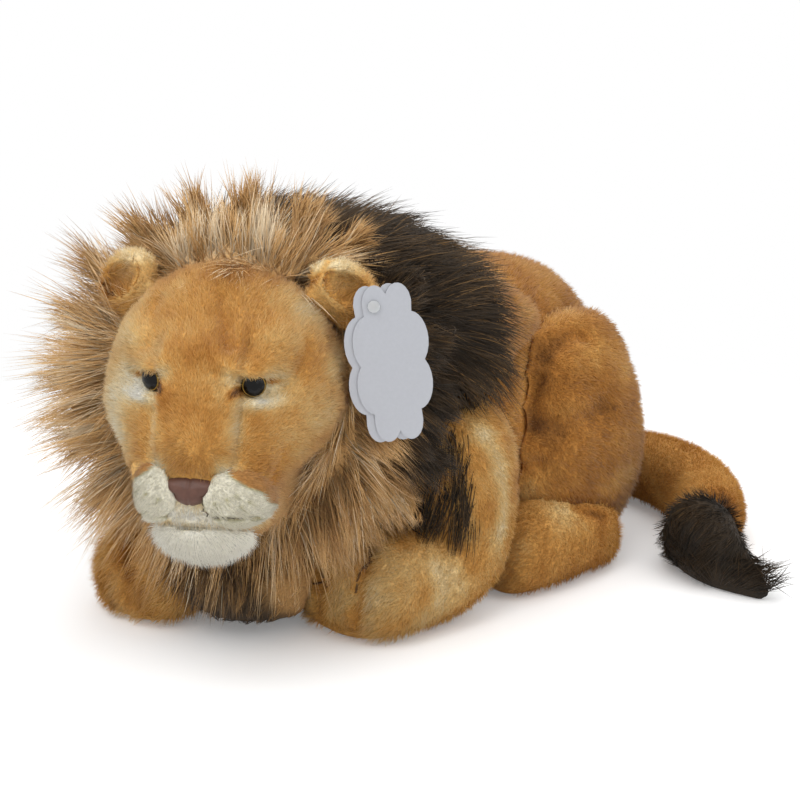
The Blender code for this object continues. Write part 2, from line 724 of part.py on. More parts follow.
def build_ear(side_name, side, head_joint, head):
    """An ear: a plush cup on a rolled root, with its lining in the hollow."""
    joint = empty(f"{side_name}_ear_joint", (side * EAR_X, -EAR_FORWARD, EAR_RISE),
                  (0.0, side * EAR_LEAN, side * EAR_YAW), head_joint)
    radii = (EAR_HALF_WIDTH, EAR_HALF_DEPTH, EAR_HALF_HEIGHT)
    centre = (0.0, 0.0, EAR_CENTRE_RISE)
    cup = add_piece(f"{side_name}_ear_back", ellipsoid(f"{side_name}_ear_back", radii, centre), TAN, joint)
    root_end = EAR_ROOT_HALF_LENGTH
    root = turned(f"{side_name}_ear_root", [(0.0, root_end), (EAR_ROOT_RADIUS, root_end),
                                            (EAR_ROOT_RADIUS, -root_end), (0.0, -root_end)], SIDES)
    along = (0.0, math.pi / 2, 0.0)
    join(cup, add_cutter(f"{side_name}_ear_root", root, joint, rotation=along))
    dish_radii = Vector((EAR_HALF_WIDTH - EAR_RIM, EAR_HALF_DEPTH, EAR_HALF_HEIGHT - EAR_RIM))
    dish_centre = Vector((0.0, -EAR_DISH_OFFSET, EAR_CENTRE_RISE + EAR_RIM / 2))
    dish = ellipsoid(f"{side_name}_ear_dish", dish_radii, dish_centre)
    cut(cup, add_cutter(f"{side_name}_ear_dish", dish, joint))
    gap = Vector((GAP, GAP, GAP))
    lining = add_piece(f"{side_name}_ear_lining",
                       ellipsoid(f"{side_name}_ear_lining", dish_radii - gap, dish_centre), CREAM, joint)
    hollow_centre = dish_centre - Vector((0.0, LINING_THICKNESS, 0.0))
    hollow = ellipsoid(f"{side_name}_ear_hollow", dish_radii, hollow_centre)
    cut(lining, add_cutter(f"{side_name}_ear_hollow", hollow, joint))
    seat_end = EAR_ROOT_HALF_LENGTH + GAP
    seat_radius = EAR_ROOT_RADIUS + GAP
    seat = turned(f"{side_name}_ear_seat", [(0.0, seat_end), (seat_radius, seat_end),
                                            (seat_radius, -seat_end), (0.0, -seat_end)], SIDES)
    cut(head, add_cutter(f"{side_name}_ear_seat", seat, joint, rotation=along))
    sweep_radius = EAR_HALF_HEIGHT + EAR_CENTRE_RISE + EAR_ROOM
    room = ellipsoid(f"{side_name}_ear_room", (EAR_HALF_WIDTH + EAR_ROOM, sweep_radius, sweep_radius))
    return joint, (cup, lining), add_cutter(f"{side_name}_ear_room", room, joint)


def build_tail(joint):
    """The tail, lying in a bend from the rump round to the left."""
    stations = []
    for side, rear, radius in TAIL_SHARES:
        size = TAIL_RADIUS * radius
        stations.append((Vector((TAIL_REACH * side, TAIL_REAR_REACH * rear, size - FLOOR_SINK)), size))
    rings = []
    for at, (centre, radius) in enumerate(stations):
        before = stations[max(at - 1, 0)][0]
        after = stations[min(at + 1, len(stations) - 1)][0]
        along = (after - before).normalized()
        side = along.cross(Vector((0, 0, 1))).normalized()
        rings.append((centre, side, side.cross(along), radius, radius))
    tail = smooth(add_piece("tail", loft("tail", rings, underside=FLAT_UNDERSIDE), TAN, joint))
    seat = grown(tail)
    ball, socket = pivot("tail", TAIL_ROOT_RADIUS, stations[0][0], joint)
    join(tail, ball)
    end, before = stations[-1][0], stations[-2][0]
    return tail, seat, socket, end, (end - before).normalized()


def build_tuft(joint, end, along):
    """The dark tuft at the end of the tail, its tip flicked to the side."""
    turn = Matrix.Rotation(TUFT_TURN, 3, "Z")
    along = Vector((along.x, along.y, 0.0)).normalized()
    along = turn @ along
    across = along.cross(Vector((0, 0, 1)))
    start = end - along * TUFT_OVERLAP
    rings = []
    for place, radius, flick in TUFT_SHARES:
        size = TUFT_RADIUS * radius
        centre = start + along * (TUFT_LENGTH * place) - across * (TUFT_LENGTH * flick)
        rings.append((Vector((centre.x, centre.y, size - FLOOR_SINK)), across, Vector((0, 0, 1)), size, size))
    return smooth(add_piece("tail_tuft", loft("tail_tuft", rings, underside=FLAT_UNDERSIDE), MANE_DARK, joint))


def leaf_outline():
    """Points of the scalloped card, round its middle: the outer line of its lobes."""
    points = []
    for step in range(TAG_STEPS):
        angle = 2 * math.pi * step / TAG_STEPS
        across, up = abs(math.sin(angle)), math.cos(angle)
        reach = 0.0
        for side, rise, half_width, half_height in TAG_LOBE_SHARES:
            square = (across / half_width) ** 2 + (up / half_height) ** 2
            middle = across * side / half_width ** 2 + up * rise / half_height ** 2
            outside = (side / half_width) ** 2 + (rise / half_height) ** 2 - 1
            if middle ** 2 >= square * outside:
                reach = max(reach, (middle + math.sqrt(middle ** 2 - square * outside)) / square)
        points.append((math.sin(angle) * reach * TAG_WIDTH / 2, up * reach * TAG_HEIGHT / 2))
    return points


def build_leaf(name, joint, shift, depth):
    """One leaf of the card, hung from its hole."""
    curve = bpy.data.curves.new(name, "CURVE")
    curve.dimensions = "2D"
    curve.fill_mode = "BOTH"
    curve.extrude = TAG_CARD / 2
    drop = TAG_HEIGHT / 2 - TAG_HOLE_DROP
    outline = [(x + TAG_HOLE_SIDE - shift, y - drop) for x, y in leaf_outline()]
    hole = [(TAG_HOLE_RADIUS * math.cos(2 * math.pi * at / SIDES), TAG_HOLE_RADIUS * math.sin(2 * math.pi * at / SIDES))
            for at in range(SIDES)]
    for points in (outline, hole):
        line = curve.splines.new("POLY")
        line.points.add(len(points) - 1)
        for point, (x, y) in zip(line.points, points):
            point.co = (x, y, 0.0, 1.0)
        line.use_cyclic_u = True
    return add_piece(name, curve_mesh(name, curve), CARD, joint, (0.0, 0.0, depth))


def build_tag(ear_joint, ear_pieces):
    """The folded card and the barb that holds it to the ear."""
    bpy.context.view_layer.update()
    across, rise = TAG_EAR_SHARES
    pierced = Vector((EAR_HALF_WIDTH * across, 0.0, EAR_CENTRE_RISE + EAR_HALF_HEIGHT * rise))
    facing = Matrix.Rotation(TAG_TURN, 4, "Z") @ Matrix.Rotation(math.pi / 2, 4, "X")
    stand = facing.to_3x3() @ Vector((0.0, 0.0, TAG_STAND))
    place = Matrix.Translation(ear_joint.matrix_world @ pierced + stand) @ facing
    place = place @ Matrix.Rotation(TAG_TILT, 4, "Z")
    joint = empty("tag_joint", (0.0, 0.0, 0.0), parent=ear_joint)
    joint.matrix_local = ear_joint.matrix_world.inverted() @ place
    spacing = TAG_CARD + GAP
    build_leaf("tag_back_leaf", joint, TAG_FOLD_SHIFT, 0.0)
    build_leaf("tag_front_leaf", joint, 0.0, spacing)
    barb_end = TAG_STAND + BARB_TAIL
    top = spacing + TAG_CARD / 2 + GAP + BARB_HEAD_THICKNESS
    under_head = top - BARB_HEAD_THICKNESS
    barb = turned("tag_barb", [(0.0, top), (BARB_HEAD_RADIUS, top), (BARB_HEAD_RADIUS, under_head),
                               (BARB_RADIUS, under_head), (BARB_RADIUS, -barb_end), (0.0, -barb_end)],
                  SIDES)
    barb_joint = empty("barb_joint", (0.0, 0.0, 0.0), parent=ear_joint)
    barb_joint.matrix_local = joint.matrix_local
    add_piece("tag_barb", barb, BARB_CLEAR, barb_joint)
    bore = BARB_RADIUS + GAP
    bore_end = barb_end + OVERRUN
    hole = turned("barb_hole", [(0.0, top), (bore, top), (bore, -bore_end), (0.0, -bore_end)], SIDES)
    hole = add_cutter("barb_hole", hole, barb_joint)
    for piece in ear_pieces:
        cut(piece, hole)
    return joint


SIDES_OF_BODY = (("left", 1), ("right", -1))

clear_scene()
PARTS = new_collection("plush_lion")
CUTTERS = new_collection("cutters")

floor = floor_cutter()
torso = build_torso()
torso_seat = grown(torso)

head_joint = empty("head_joint", (0.0, NECK_Y, NECK_Z), (0.0, 0.0, HEAD_TURN))
head, head_seat, neck_socket = build_head(head_joint)
sweeps = head_sweeps()

cape = build_cape()
bib = build_bib()
sockets = []
for side_name, side in SIDES_OF_BODY:
    reach, inset = (LEFT_REACH, LEFT_PAW_INSET) if side > 0 else (RIGHT_REACH, -RIGHT_PAW_INSET)
    leg_joint = empty(f"{side_name}_foreleg_joint", (side * SHOULDER_X, SHOULDER_Y, 0.0))
    leg = build_foreleg(side_name, leg_joint, reach, inset)
    leg_seat = grown(leg)
    socket = shoulder_socket(side_name, leg_joint)
    sockets.append(socket)
    for piece in (torso, bib):
        cut(piece, socket, leg_seat)
    leg_room = grown(leg, BIB_ROOM)
    for turn in BIB_ROOM_TURNS:
        cut(bib, add_cutter("leg_room", leg_room.data.copy(), leg_joint, rotation=(0.0, 0.0, side * turn)))
    cut(leg, floor)
    thigh = build_thigh(side_name, side)
    thigh_seat = grown(thigh)
    cut(thigh, torso_seat, floor)
    foot = build_hind_foot(side_name, side)
    cut(foot, torso_seat, thigh_seat, floor)

tail_joint = empty("tail_joint", (TAIL_ROOT_X, TAIL_ROOT_Y, 0.0))
tail, tail_seat, tail_socket, tail_end, tail_along = build_tail(tail_joint)
cut(tail, floor)
tuft = build_tuft(tail_joint, tail_end, tail_along)
cut(tuft, tail_seat, floor)

pads, chin = build_muzzle(head_joint)
nose = build_nose(head_joint)
nose_seat = grown(nose)
cut(nose, head_seat)
middle = add_cutter("lip_seam", box("lip_seam", (-GAP / 2, -FAR, -FAR), (GAP / 2, 0.0, FAR)), head_joint)
for pad in pads:
    cut(chin, grown(pad))
    cut(pad, head_seat, nose_seat, middle, solver="MANIFOLD")
cut(chin, head_seat)

ruff = build_ruff(head_joint)
cut(ruff, head_seat, neck_socket)
for side_name, side in SIDES_OF_BODY:
    build_eye(side_name, side, head_joint, head)
    ear_joint, ear_pieces, ear_room = build_ear(side_name, side, head_joint, head)
    cut(ruff, ear_room)
    if side > 0:
        build_tag(ear_joint, ear_pieces)
cut(ruff, add_cutter("ruff_floor", box("ruff_floor", (-FAR, -FAR, -FAR), (FAR, FAR, RUFF_FLOOR))))

bib_roof = add_cutter("bib_roof", box("bib_roof", (-FAR, -FAR, BIB_TOP), (FAR, FAR, FAR)))
bib_ground = add_cutter("bib_ground", box("bib_ground", (-FAR, -FAR, -FAR), (FAR, FAR, BIB_BOTTOM)))
cut(bib, torso_seat, bib_roof, bib_ground)
cut(cape, torso_seat, *sockets, neck_socket, *sweeps)
cut(torso, neck_socket, *sweeps, tail_socket, floor)
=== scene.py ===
"""Plush lion lying on its belly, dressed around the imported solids.

Every stuffed form is a padded hide of knitted fabric that carries its own coat of pile. One Geometry
Nodes tree grows every coat, short pile and long mane alike, from fields written on the hide.
"""

import logging
import math
import sys
from dataclasses import asdict, dataclass, fields, replace
from enum import Enum
from functools import partial

import bmesh
import bpy
import numpy as np
from mathutils import Matrix, Vector
from mathutils.bvhtree import BVHTree


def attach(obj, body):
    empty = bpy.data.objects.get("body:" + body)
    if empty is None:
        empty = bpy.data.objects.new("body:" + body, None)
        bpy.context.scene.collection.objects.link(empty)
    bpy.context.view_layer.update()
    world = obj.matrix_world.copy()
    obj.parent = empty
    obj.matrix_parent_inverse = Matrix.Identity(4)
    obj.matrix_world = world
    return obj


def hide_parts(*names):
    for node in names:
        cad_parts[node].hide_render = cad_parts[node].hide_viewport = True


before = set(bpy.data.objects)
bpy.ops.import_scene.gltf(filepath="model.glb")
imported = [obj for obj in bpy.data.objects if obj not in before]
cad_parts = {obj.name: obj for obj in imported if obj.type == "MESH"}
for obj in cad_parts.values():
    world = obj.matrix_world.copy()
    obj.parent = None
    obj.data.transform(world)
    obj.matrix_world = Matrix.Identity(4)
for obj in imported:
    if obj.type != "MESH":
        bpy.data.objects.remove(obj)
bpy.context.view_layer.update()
LOG = logging.getLogger("plush_lion")

# The head's own axes: x to its left, -y forwards, z up.
NECK = Vector((0.0, -0.114, 0.118))
HEAD_TURN = math.radians(27)
HEAD_PLACE = Matrix.Translation(NECK) @ Matrix.Rotation(HEAD_TURN, 4, "Z")

# Lengths in metres
FLOOR_CLEARANCE = 0.0004
MERGE_DISTANCE = 1e-5
HIDDEN_START = 0.0008
HIDDEN_REACH = 0.012
FOOT_DEPTH = 0.0005

# A hide rests on the floor where it lies this low and faces down by this much.
RESTING_HEIGHT = 0.004
RESTING_FALL = -0.3

# The fields on a hide have names that start with this.
FIELD = "pile_"

BUMP = "ShaderNodeBump"
JOINED = "ShaderNodeCombineXYZ"
MATH = "ShaderNodeMath"
MIX = "ShaderNodeMix"
NOISE = "ShaderNodeTexNoise"
PLACE = "ShaderNodeTexCoord"
RAMP = "ShaderNodeValToRGB"
RESCALE = "ShaderNodeMapRange"
SPLIT = "ShaderNodeSeparateXYZ"
VECTOR = "ShaderNodeVectorMath"
DRAW = "FunctionNodeRandomValue"
READ = "GeometryNodeInputNamedAttribute"
SCATTER = "GeometryNodeDistributePointsOnFaces"
STORE = "GeometryNodeStoreNamedAttribute"

Array = np.ndarray
Point = tuple[float, float, float]


# Helpers for colour, nodes and fields


def linear(code: str) -> tuple[float, float, float, float]:
    """Turn an sRGB hex colour into the linear one that Blender takes.

    Args:
        code: Six hex digits.

    Returns:
        Red, green, blue and alpha.
    """
    parts = [int(code[at:at + 2], 16) / 255 for at in (0, 2, 4)]
    light = [part / 12.92 if part <= 0.04045 else ((part + 0.055) / 1.055) ** 2.4 for part in parts]
    return (*light, 1.0)


def fill_inputs(node: bpy.types.Node, inputs: dict) -> None:
    """Fill or link a node's inputs.

    Args:
        node: The node.
        inputs: Input name or number, with a value or the socket that feeds it.
    """
    for name, value in inputs.items():
        if isinstance(value, bpy.types.NodeSocket):
            node.id_data.links.new(value, node.inputs[name])
        else:
            node.inputs[name].default_value = value


def add_node(tree: bpy.types.NodeTree, kind: str, inputs: dict | None = None,
             stops: tuple[tuple[float, str], ...] = (), **settings) -> bpy.types.Node:
    """Add a node, set its properties, and fill or link its inputs.

    Args:
        tree: The node tree to add to.
        kind: The node's type name.
        inputs: Input name or number, with a value or the socket that feeds it.
        stops: For a colour ramp, each stop's place and colour.
        settings: Properties of the node.

    Returns:
        The new node.
    """
    node = tree.nodes.new(kind)
    for name, value in settings.items():
        setattr(node, name, value)
    fill_inputs(node, inputs or {})
    for at, (place, code) in enumerate(stops):
        elements = node.color_ramp.elements
        stop = elements[at] if at < len(elements) else elements.new(place)
        stop.position, stop.color = place, linear(code)
    return node


def add_socket(tree: bpy.types.NodeTree, kind: str, inputs: dict | None = None, **settings) -> bpy.types.NodeSocket:
    """Add a node as add_node does, and give its first output in use."""
    return next(out for out in add_node(tree, kind, inputs, **settings).outputs if out.enabled)


def start_group(name: str, inputs: dict[str, str]) -> tuple[bpy.types.NodeTree, bpy.types.bpy_prop_collection]:
    """Start a Geometry Nodes tree that takes a mesh, some inputs and a material.

    Args:
        name: The tree's name.
        inputs: Name of each input, with the kind of its socket.

    Returns:
        The tree, and the sockets that its inputs come from.
    """
    tree = bpy.data.node_groups.new(name, "GeometryNodeTree")
    for label, kind in {"Geometry": "Geometry", **inputs, "Material": "Material"}.items():
        tree.interface.new_socket(label, in_out="INPUT", socket_type=f"NodeSocket{kind}")
    tree.interface.new_socket("Geometry", in_out="OUTPUT", socket_type="NodeSocketGeometry")
    return tree, add_node(tree, "NodeGroupInput").outputs


def end_group(tree: bpy.types.NodeTree, made: bpy.types.NodeSocket, material: bpy.types.NodeSocket) -> None:
    """End a tree: drop its working fields, smooth the mesh, set its material and give it out.

    Args:
        tree: The tree.
        made: The socket of the finished mesh.
        material: The socket of its material.
    """
    made = add_socket(tree, "GeometryNodeRemoveAttribute", {"Geometry": made, "Name": f"{FIELD}*"},
                      pattern_mode="WILDCARD")
    made = add_socket(tree, "GeometryNodeSetShadeSmooth", {"Geometry": made})
    made = add_socket(tree, "GeometryNodeSetMaterial", {"Geometry": made, "Material": material})
    add_node(tree, "NodeGroupOutput", {0: made})


def smoothstep(low: float, high: float, value: Array) -> Array:
    """Rise from 0 at low to 1 at high with no corner.

    Args:
        low: Where the rise starts.
        high: Where it ends. It may lie under low, and then the step falls.
        value: The values to look up.

    Returns:
        The step at each value.
    """
    share = np.clip((value - low) / (high - low), 0.0, 1.0)
    return share * share * (3 - 2 * share)


def mottle(points: Array, size: float, seed: int, waves: int = 9) -> Array:
    """Soft patches that differ from place to place, as brushed pile has.

    Args:
        points: Places in metres.
        size: Size of a patch in metres.
        seed: Number that picks the pattern.
        waves: How many waves cross in it.

    Returns:
        Values of about -1 to 1.
    """
    rng = np.random.default_rng(seed)
    total = np.zeros(len(points))
    for _ in range(waves):
        wave = rng.normal(size=3)
        wave *= math.pi / size / np.linalg.norm(wave) * rng.uniform(0.6, 1.5)
        total += np.sin(points @ wave + rng.uniform(0, 2 * math.pi))
    return total / math.sqrt(waves)


def spot(points: Array, centre: Point, radii: Point) -> Array:
    """A soft round spot: 1 at its centre, fading beyond its radii.

    Args:
        points: Places, in metres.
        centre: The spot's centre.
        radii: Its radius along each axis.

    Returns:
        The spot's strength at each place.
    """
    away = (points - np.array(centre)) / np.array(radii)
    return np.exp(-np.sum(away * away, axis=1))


def line_distance(points: Array, path: tuple[Point, ...]) -> Array:
    """How far each place lies from a path of straight pieces.

    Args:
        points: Places in metres.
        path: The path's corners.

    Returns:
        The distance of each place.
    """
    least = np.full(len(points), np.inf)
    for first, second in zip(path, path[1:]):
        start, run = np.array(first), np.array(second) - np.array(first)
        share = np.clip((points - start) @ run / max(run @ run, 1e-12), 0.0, 1.0)
        least = np.minimum(least, np.linalg.norm(points - start - share[:, None] * run, axis=1))
    return least


def laid(path: tuple[Point, ...], places: Array, far: float = 0.007, step: float = 0.002) -> Array:
    """Lay a path on a hide, by moving points along it to the nearest vertices.

    Args:
        path: The path's corners, close to the hide.
        places: The hide's vertices.
        far: How far a point may move. One that lies farther off is left out.
        step: How far apart the points along the path are.

    Returns:
        The laid points in order.
    """
    corners = np.array(path)
    points = [corners[:1]]
    for first, second in zip(corners, corners[1:]):
        count = max(2, math.ceil(float(np.linalg.norm(second - first)) / step))
        points.append(first + (second - first) * np.linspace(0.0, 1.0, count + 1)[1:, None])
    points = np.vstack(points)
    found = np.array([places[np.argmin(np.sum((places - point) ** 2, axis=1))] for point in points])
    return found[np.linalg.norm(found - points, axis=1) < far]


def unit(vectors: Array) -> Array:
    """Scale each row to length 1."""
    return vectors / np.maximum(np.linalg.norm(vectors, axis=1), 1e-9)[:, None]


def in_head(points: Array) -> Array:
    """Give world places in the head's own axes: x to its left, -y forwards, z up."""
    back = np.array(HEAD_PLACE.inverted())
    return points @ back[:3, :3].T + back[:3, 3]


def from_head(vectors: Array) -> Array:
    """Turn directions in the head's own axes into world directions."""
    return vectors @ np.array(HEAD_PLACE)[:3, :3].T


def folded(own: Array) -> Array:
    """Fold places in the head's own axes onto its left half."""
    return np.column_stack((np.abs(own[:, 0]), own[:, 1], own[:, 2]))


def combed(comb: Array, normals: Array, swirl: Array) -> Array:
    """Turn a combing a little from place to place, and lay it along the hide.

    Args:
        comb: The direction of the pile at each place.
        normals: The hide's normals.
        swirl: What is added to each direction.

    Returns:
        Directions along the hide, of length 1.
    """
    comb = comb + swirl
    return unit(comb - normals * np.sum(comb * normals, axis=1)[:, None])


def swirls(places: Array, size: float, seed: int) -> Array:
    """Give a mottled vector at each place, from three patterns whose seeds start at seed."""
    return np.stack([mottle(places, size, seed + at) for at in range(3)], axis=1)


# Finishes


@dataclass(frozen=True)
class PileFinish:
    """Acrylic or polyester pile, dyed, brushed and cut, on a knitted backing.

    Its fibres are matte and much lighter at a grazing look, where light passes through their ends.
    """

    name: str
    slot: str
    stops: tuple[tuple[float, str], ...]
    # How dark a fibre is painted at its root: painted shade deep in the pile
    root_shade: float = 0.62
    roughness: float = 0.8
    sheen: float = 0.12

    def fibres(self) -> bpy.types.Material:
        """The material of single fibres: dye across the map, root to tip along it, with painted shade that darkens each
        fibre towards its root.
        """
        material, tree, shader = plain_material(f"{self.name}_fibres", self.roughness)
        place = add_node(tree, "ShaderNodeUVMap", uv_map="OFBake").outputs[0]
        tone, along = add_node(tree, SPLIT, {0: place}).outputs[:2]
        dye = add_node(tree, RAMP, {0: tone}, self.stops).outputs[0]
        # Painted shade: each fibre darkens from its tip down to root_shade at its root.
        depth = add_node(tree, RESCALE, {"Value": along, "From Max": 0.75, "To Min": self.root_shade}).outputs[0]
        colour = add_node(tree, MIX, {0: 1.0, 6: dye, 7: depth}, data_type="RGBA", blend_type="MULTIPLY").outputs[2]
        fill_inputs(shader, {"Base Color": colour, "Sheen Weight": self.sheen, "Sheen Roughness": 0.5,
                             "Specular IOR Level": 0.25})
        return material

    def backing(self) -> bpy.types.Material:
        """The material of the knitted backing under the pile, mottled as the pile over it is, and darkened by painted
        shade, most between the tufts.
        """
        material, tree, shader = plain_material(f"{self.name}_backing", 0.95)
        tone = add_node(tree, "ShaderNodeAttribute", attribute_name=f"{FIELD}tone").outputs["Fac"]
        place = add_node(tree, PLACE).outputs["Object"]
        # Tufts of pile stand about 1.2 mm apart on the backing.
        tufts = add_node(tree, NOISE, {"Vector": place, "Scale": 800.0, "Detail": 2.0}).outputs[0]
        # Painted shade: the backing keeps 0.55 to 0.95 of its dye, least where the tufts' bump is lowest.
        shade = add_node(tree, RESCALE, {"Value": tufts, "From Min": 0.3, "From Max": 0.7, "To Min": 0.55,
                                         "To Max": 0.95}).outputs[0]
        dye = add_node(tree, RAMP, {0: tone}, self.stops).outputs[0]
        colour = add_node(tree, MIX, {0: 1.0, 6: dye, 7: shade}, data_type="RGBA", blend_type="MULTIPLY").outputs[2]
        bump = add_node(tree, BUMP, {"Strength": 0.8, "Distance": 0.0006, "Height": tufts}).outputs[0]
        fill_inputs(shader, {"Base Color": colour, "Normal": bump})
        return material


def plain_material(name: str, roughness: float) -> tuple[bpy.types.Material, bpy.types.NodeTree, bpy.types.Node]:
    """Make a material with one Principled shader.

    Args:
        name: The material's name.
        roughness: The shader's roughness.

    Returns:
        The material, its tree and its shader.
    """
    material = bpy.data.materials.new(name)
    material.use_nodes = True
    shader = material.node_tree.nodes["Principled BSDF"]
    fill_inputs(shader, {"Roughness": roughness})
    return material, material.node_tree, shader


def clouded_material(name: str, scale: float, detail: float, shades: tuple[str, str],
                     gloss: tuple[float, float]) -> tuple[bpy.types.Material, bpy.types.NodeTree, bpy.types.Node,
                                                          bpy.types.NodeSocket]:
    """Make a material whose colour and roughness drift between two values in the same soft clouds.

    Args:
        name: The material's name.
        scale: How many clouds there are in a metre.
        detail: How finely they are broken up.
        shades: The colours of the low and of the high clouds.
        gloss: The roughness of the low and of the high clouds.

    Returns:
        The material, its tree, its shader, and the place that its patterns are read at.
    """
    material, tree, shader = plain_material(name, sum(gloss) / 2)
    place = add_node(tree, PLACE).outputs["Object"]
    cloud = add_node(tree, NOISE, {"Vector": place, "Scale": scale, "Detail": detail}).outputs[0]
    low, high = (linear(shade) for shade in shades)
    colour = add_node(tree, MIX, {0: cloud, 6: low, 7: high}, data_type="RGBA").outputs[2]
    level = add_node(tree, RESCALE, {"Value": cloud, "To Min": gloss[0], "To Max": gloss[1]}).outputs[0]
    fill_inputs(shader, {"Base Color": colour, "Roughness": level})
    return material, tree, shader, place


TAN_DYE = (
    (0.00, "2A2014"),
    (0.12, "6F4418"),
    (0.30, "BA7C32"),
    (0.48, "DDA556"),
    (0.64, "E9C380"),
    (0.80, "F2DEB2"),
    (0.93, "F6F0DE"),
    (1.00, "FBF8F0"),
)
CREAM_DYE = (
    (0.00, "8A5A26"),
    (0.12, "B88244"),
    (0.24, "C8A066"),
    (0.38, "B3AC8A"),
    (0.55, "C4BEA0"),
    (0.75, "E2DCC6"),
    (0.90, "EFE9D6"),
    (1.00, "F6F2E4"),
)
MANE_DYE = (
    (0.00, "1B1409"),
    (0.16, "392A17"),
    (0.30, "543F24"),
    (0.46, "806139"),
    (0.62, "B78A52"),
    (0.80, "DEB276"),
    (1.00, "F6E7C9"),
)

TAN_PILE = PileFinish("tan_pile", "tan_pile", TAN_DYE)
CREAM_PILE = PileFinish("cream_pile", "cream_pile", CREAM_DYE, root_shade=0.90)
LINING_PILE = PileFinish("lining_pile", "cream_pile", TAN_DYE)
TAN_MANE = PileFinish("tan_mane", "mane_tan", MANE_DYE, root_shade=0.55, roughness=0.6, sheen=0.08)
DARK_MANE = PileFinish("dark_mane", "mane_dark", MANE_DYE, root_shade=0.6, roughness=0.55, sheen=0.03)


@dataclass(frozen=True)
class Leatherette:
    """Brown vinyl pressed with a fine grain on a knitted back: satin, with soft, broad highlights."""

    colour: str = "6B4B40"
    low: str = "4A332B"
    grain: float = 0.0009

    def material(self) -> bpy.types.Material:
        """Make the nose's leatherette."""
        material, tree, shader, place = clouded_material("leatherette", 260.0, 3.0, (self.low, self.colour),
                                                         (0.34, 0.52))
        cells = add_node(tree, "ShaderNodeTexVoronoi", {"Vector": place, "Scale": 1.0 / self.grain}).outputs[0]
        bump = add_node(tree, BUMP, {"Strength": 0.35, "Distance": 0.00012, "Height": cells}).outputs[0]
        fill_inputs(shader, {"Normal": bump, "Specular IOR Level": 0.25})
        return material


@dataclass(frozen=True)
class AcrylicEye:
    """Moulded acrylic, painted from behind and polished: a black pupil in a thin gold iris, under clear gloss."""

    radius: float = 0.0062
    splay: float = 24.0
    stops: tuple[tuple[float, str], ...] = (
        (0.00, "070605"),
        (0.80, "0C0A08"),
        (0.84, "3A2E16"),
        (0.87, "AF8F45"),
        (0.90, "8A6E30"),
        (0.93, "241C10"),
        (1.00, "0E0B07"),
    )

    def material(self, side: str, node: str) -> bpy.types.Material:
        """Make one eye's acrylic, with the iris round that eye's own axis.

        Args:
            side: left or right.
            node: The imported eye, which gives the place of the axis.

        Returns:
            The material.
        """
        material, tree, shader = plain_material(f"acrylic_{side}_eye", 0.12)
        middle = places_of(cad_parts[node].data).mean(axis=0)
        splay = math.radians(self.splay if side == "left" else -self.splay)
        axis = from_head(np.array([[math.sin(splay), -math.cos(splay), 0.0]]))[0]
        place = add_node(tree, PLACE).outputs["Object"]
        away = add_node(tree, VECTOR, {0: place, 1: tuple(middle)}, operation="SUBTRACT").outputs[0]
        across = add_node(tree, VECTOR, {0: away, 1: tuple(axis)}, operation="CROSS_PRODUCT").outputs[0]
        reach = add_node(tree, VECTOR, {0: across}, operation="LENGTH").outputs["Value"]
        # Flecks of paint in the iris are about 0.4 mm.
        fleck = add_node(tree, NOISE, {"Vector": place, "Scale": 2400.0}).outputs[0]
        reach = add_node(tree, MATH, {0: fleck, 1: 0.0003, 2: reach}, operation="MULTIPLY_ADD").outputs[0]
        share = add_node(tree, RESCALE, {"Value": reach, "From Max": self.radius}).outputs[0]
        paint = add_node(tree, RAMP, {0: share}, self.stops).outputs[0]
        fill_inputs(shader, {"Base Color": paint, "Specular IOR Level": 0.15, "Coat Weight": 0.10,
                             "Coat Roughness": 0.03})
        return material


@dataclass(frozen=True)
class CoatedCard:
    """White board with a satin coating: a faint felt of paper fibres shows in its gloss."""

    colour: str = "AFB1B7"
    shade: str = "A6A8AE"

    def material(self) -> bpy.types.Material:
        """Make the card's board."""
        # Clumps of paper fibre are about 1.5 mm, and single fibres 0.3 mm.
        material, tree, shader, place = clouded_material("coated_card", 650.0, 4.0, (self.shade, self.colour),
                                                         (0.42, 0.58))
        fibre = add_node(tree, NOISE, {"Vector": place, "Scale": 3300.0, "Detail": 2.0}).outputs[0]
        bump = add_node(tree, BUMP, {"Strength": 0.12, "Distance": 0.00005, "Height": fibre}).outputs[0]
        fill_inputs(shader, {"Normal": bump})
        return material


@dataclass(frozen=True)
class Nylon:
    """Moulded nylon, clear or white: a little cloudy, with a waxy gloss and a faint flow from the mould."""

    name: str
    colour: str
    cloudy: str
    clearness: float = 0.0

    def material(self) -> bpy.types.Material:
        """Make the nylon of the barb or of the washers."""
        # The mould's flow shows as clouds about 2 mm long.
        material, _, shader, _ = clouded_material(self.name, 500.0, 2.0, (self.cloudy, self.colour), (0.28, 0.42))
        fill_inputs(shader, {"Transmission Weight": self.clearness, "IOR": 1.53})
        return material


@dataclass(frozen=True)
class SewingThread:
    """Twisted polyester thread: matte, with a fine slanting ply that breaks up its highlight."""

    name: str
    colour: str
    ply: float = 0.0005

    def material(self) -> bpy.types.Material:
        """Make the thread of a seam."""
        material, tree, shader = plain_material(self.name, 0.75)
        place = add_node(tree, PLACE).outputs["Object"]
        # The ply is about 0.5 mm from turn to turn.
        turns = add_node(tree, "ShaderNodeTexWave", {"Vector": place, "Scale": 0.3 / self.ply, "Distortion": 2.0},
                         bands_direction="DIAGONAL").outputs[1]
        # Painted shade: the thread darkens to 0.6 between the turns of its ply, where the bump is lowest.
        shade = add_node(tree, RESCALE, {"Value": turns, "To Min": 0.6, "To Max": 1.0}).outputs[0]
        colour = add_node(tree, MIX, {0: 1.0, 6: linear(self.colour), 7: shade}, data_type="RGBA",
                          blend_type="MULTIPLY").outputs[2]
        bump = add_node(tree, BUMP, {"Strength": 0.5, "Distance": 0.0001, "Height": turns}).outputs[0]
        fill_inputs(shader, {"Base Color": colour, "Normal": bump})
        return material


# Pile


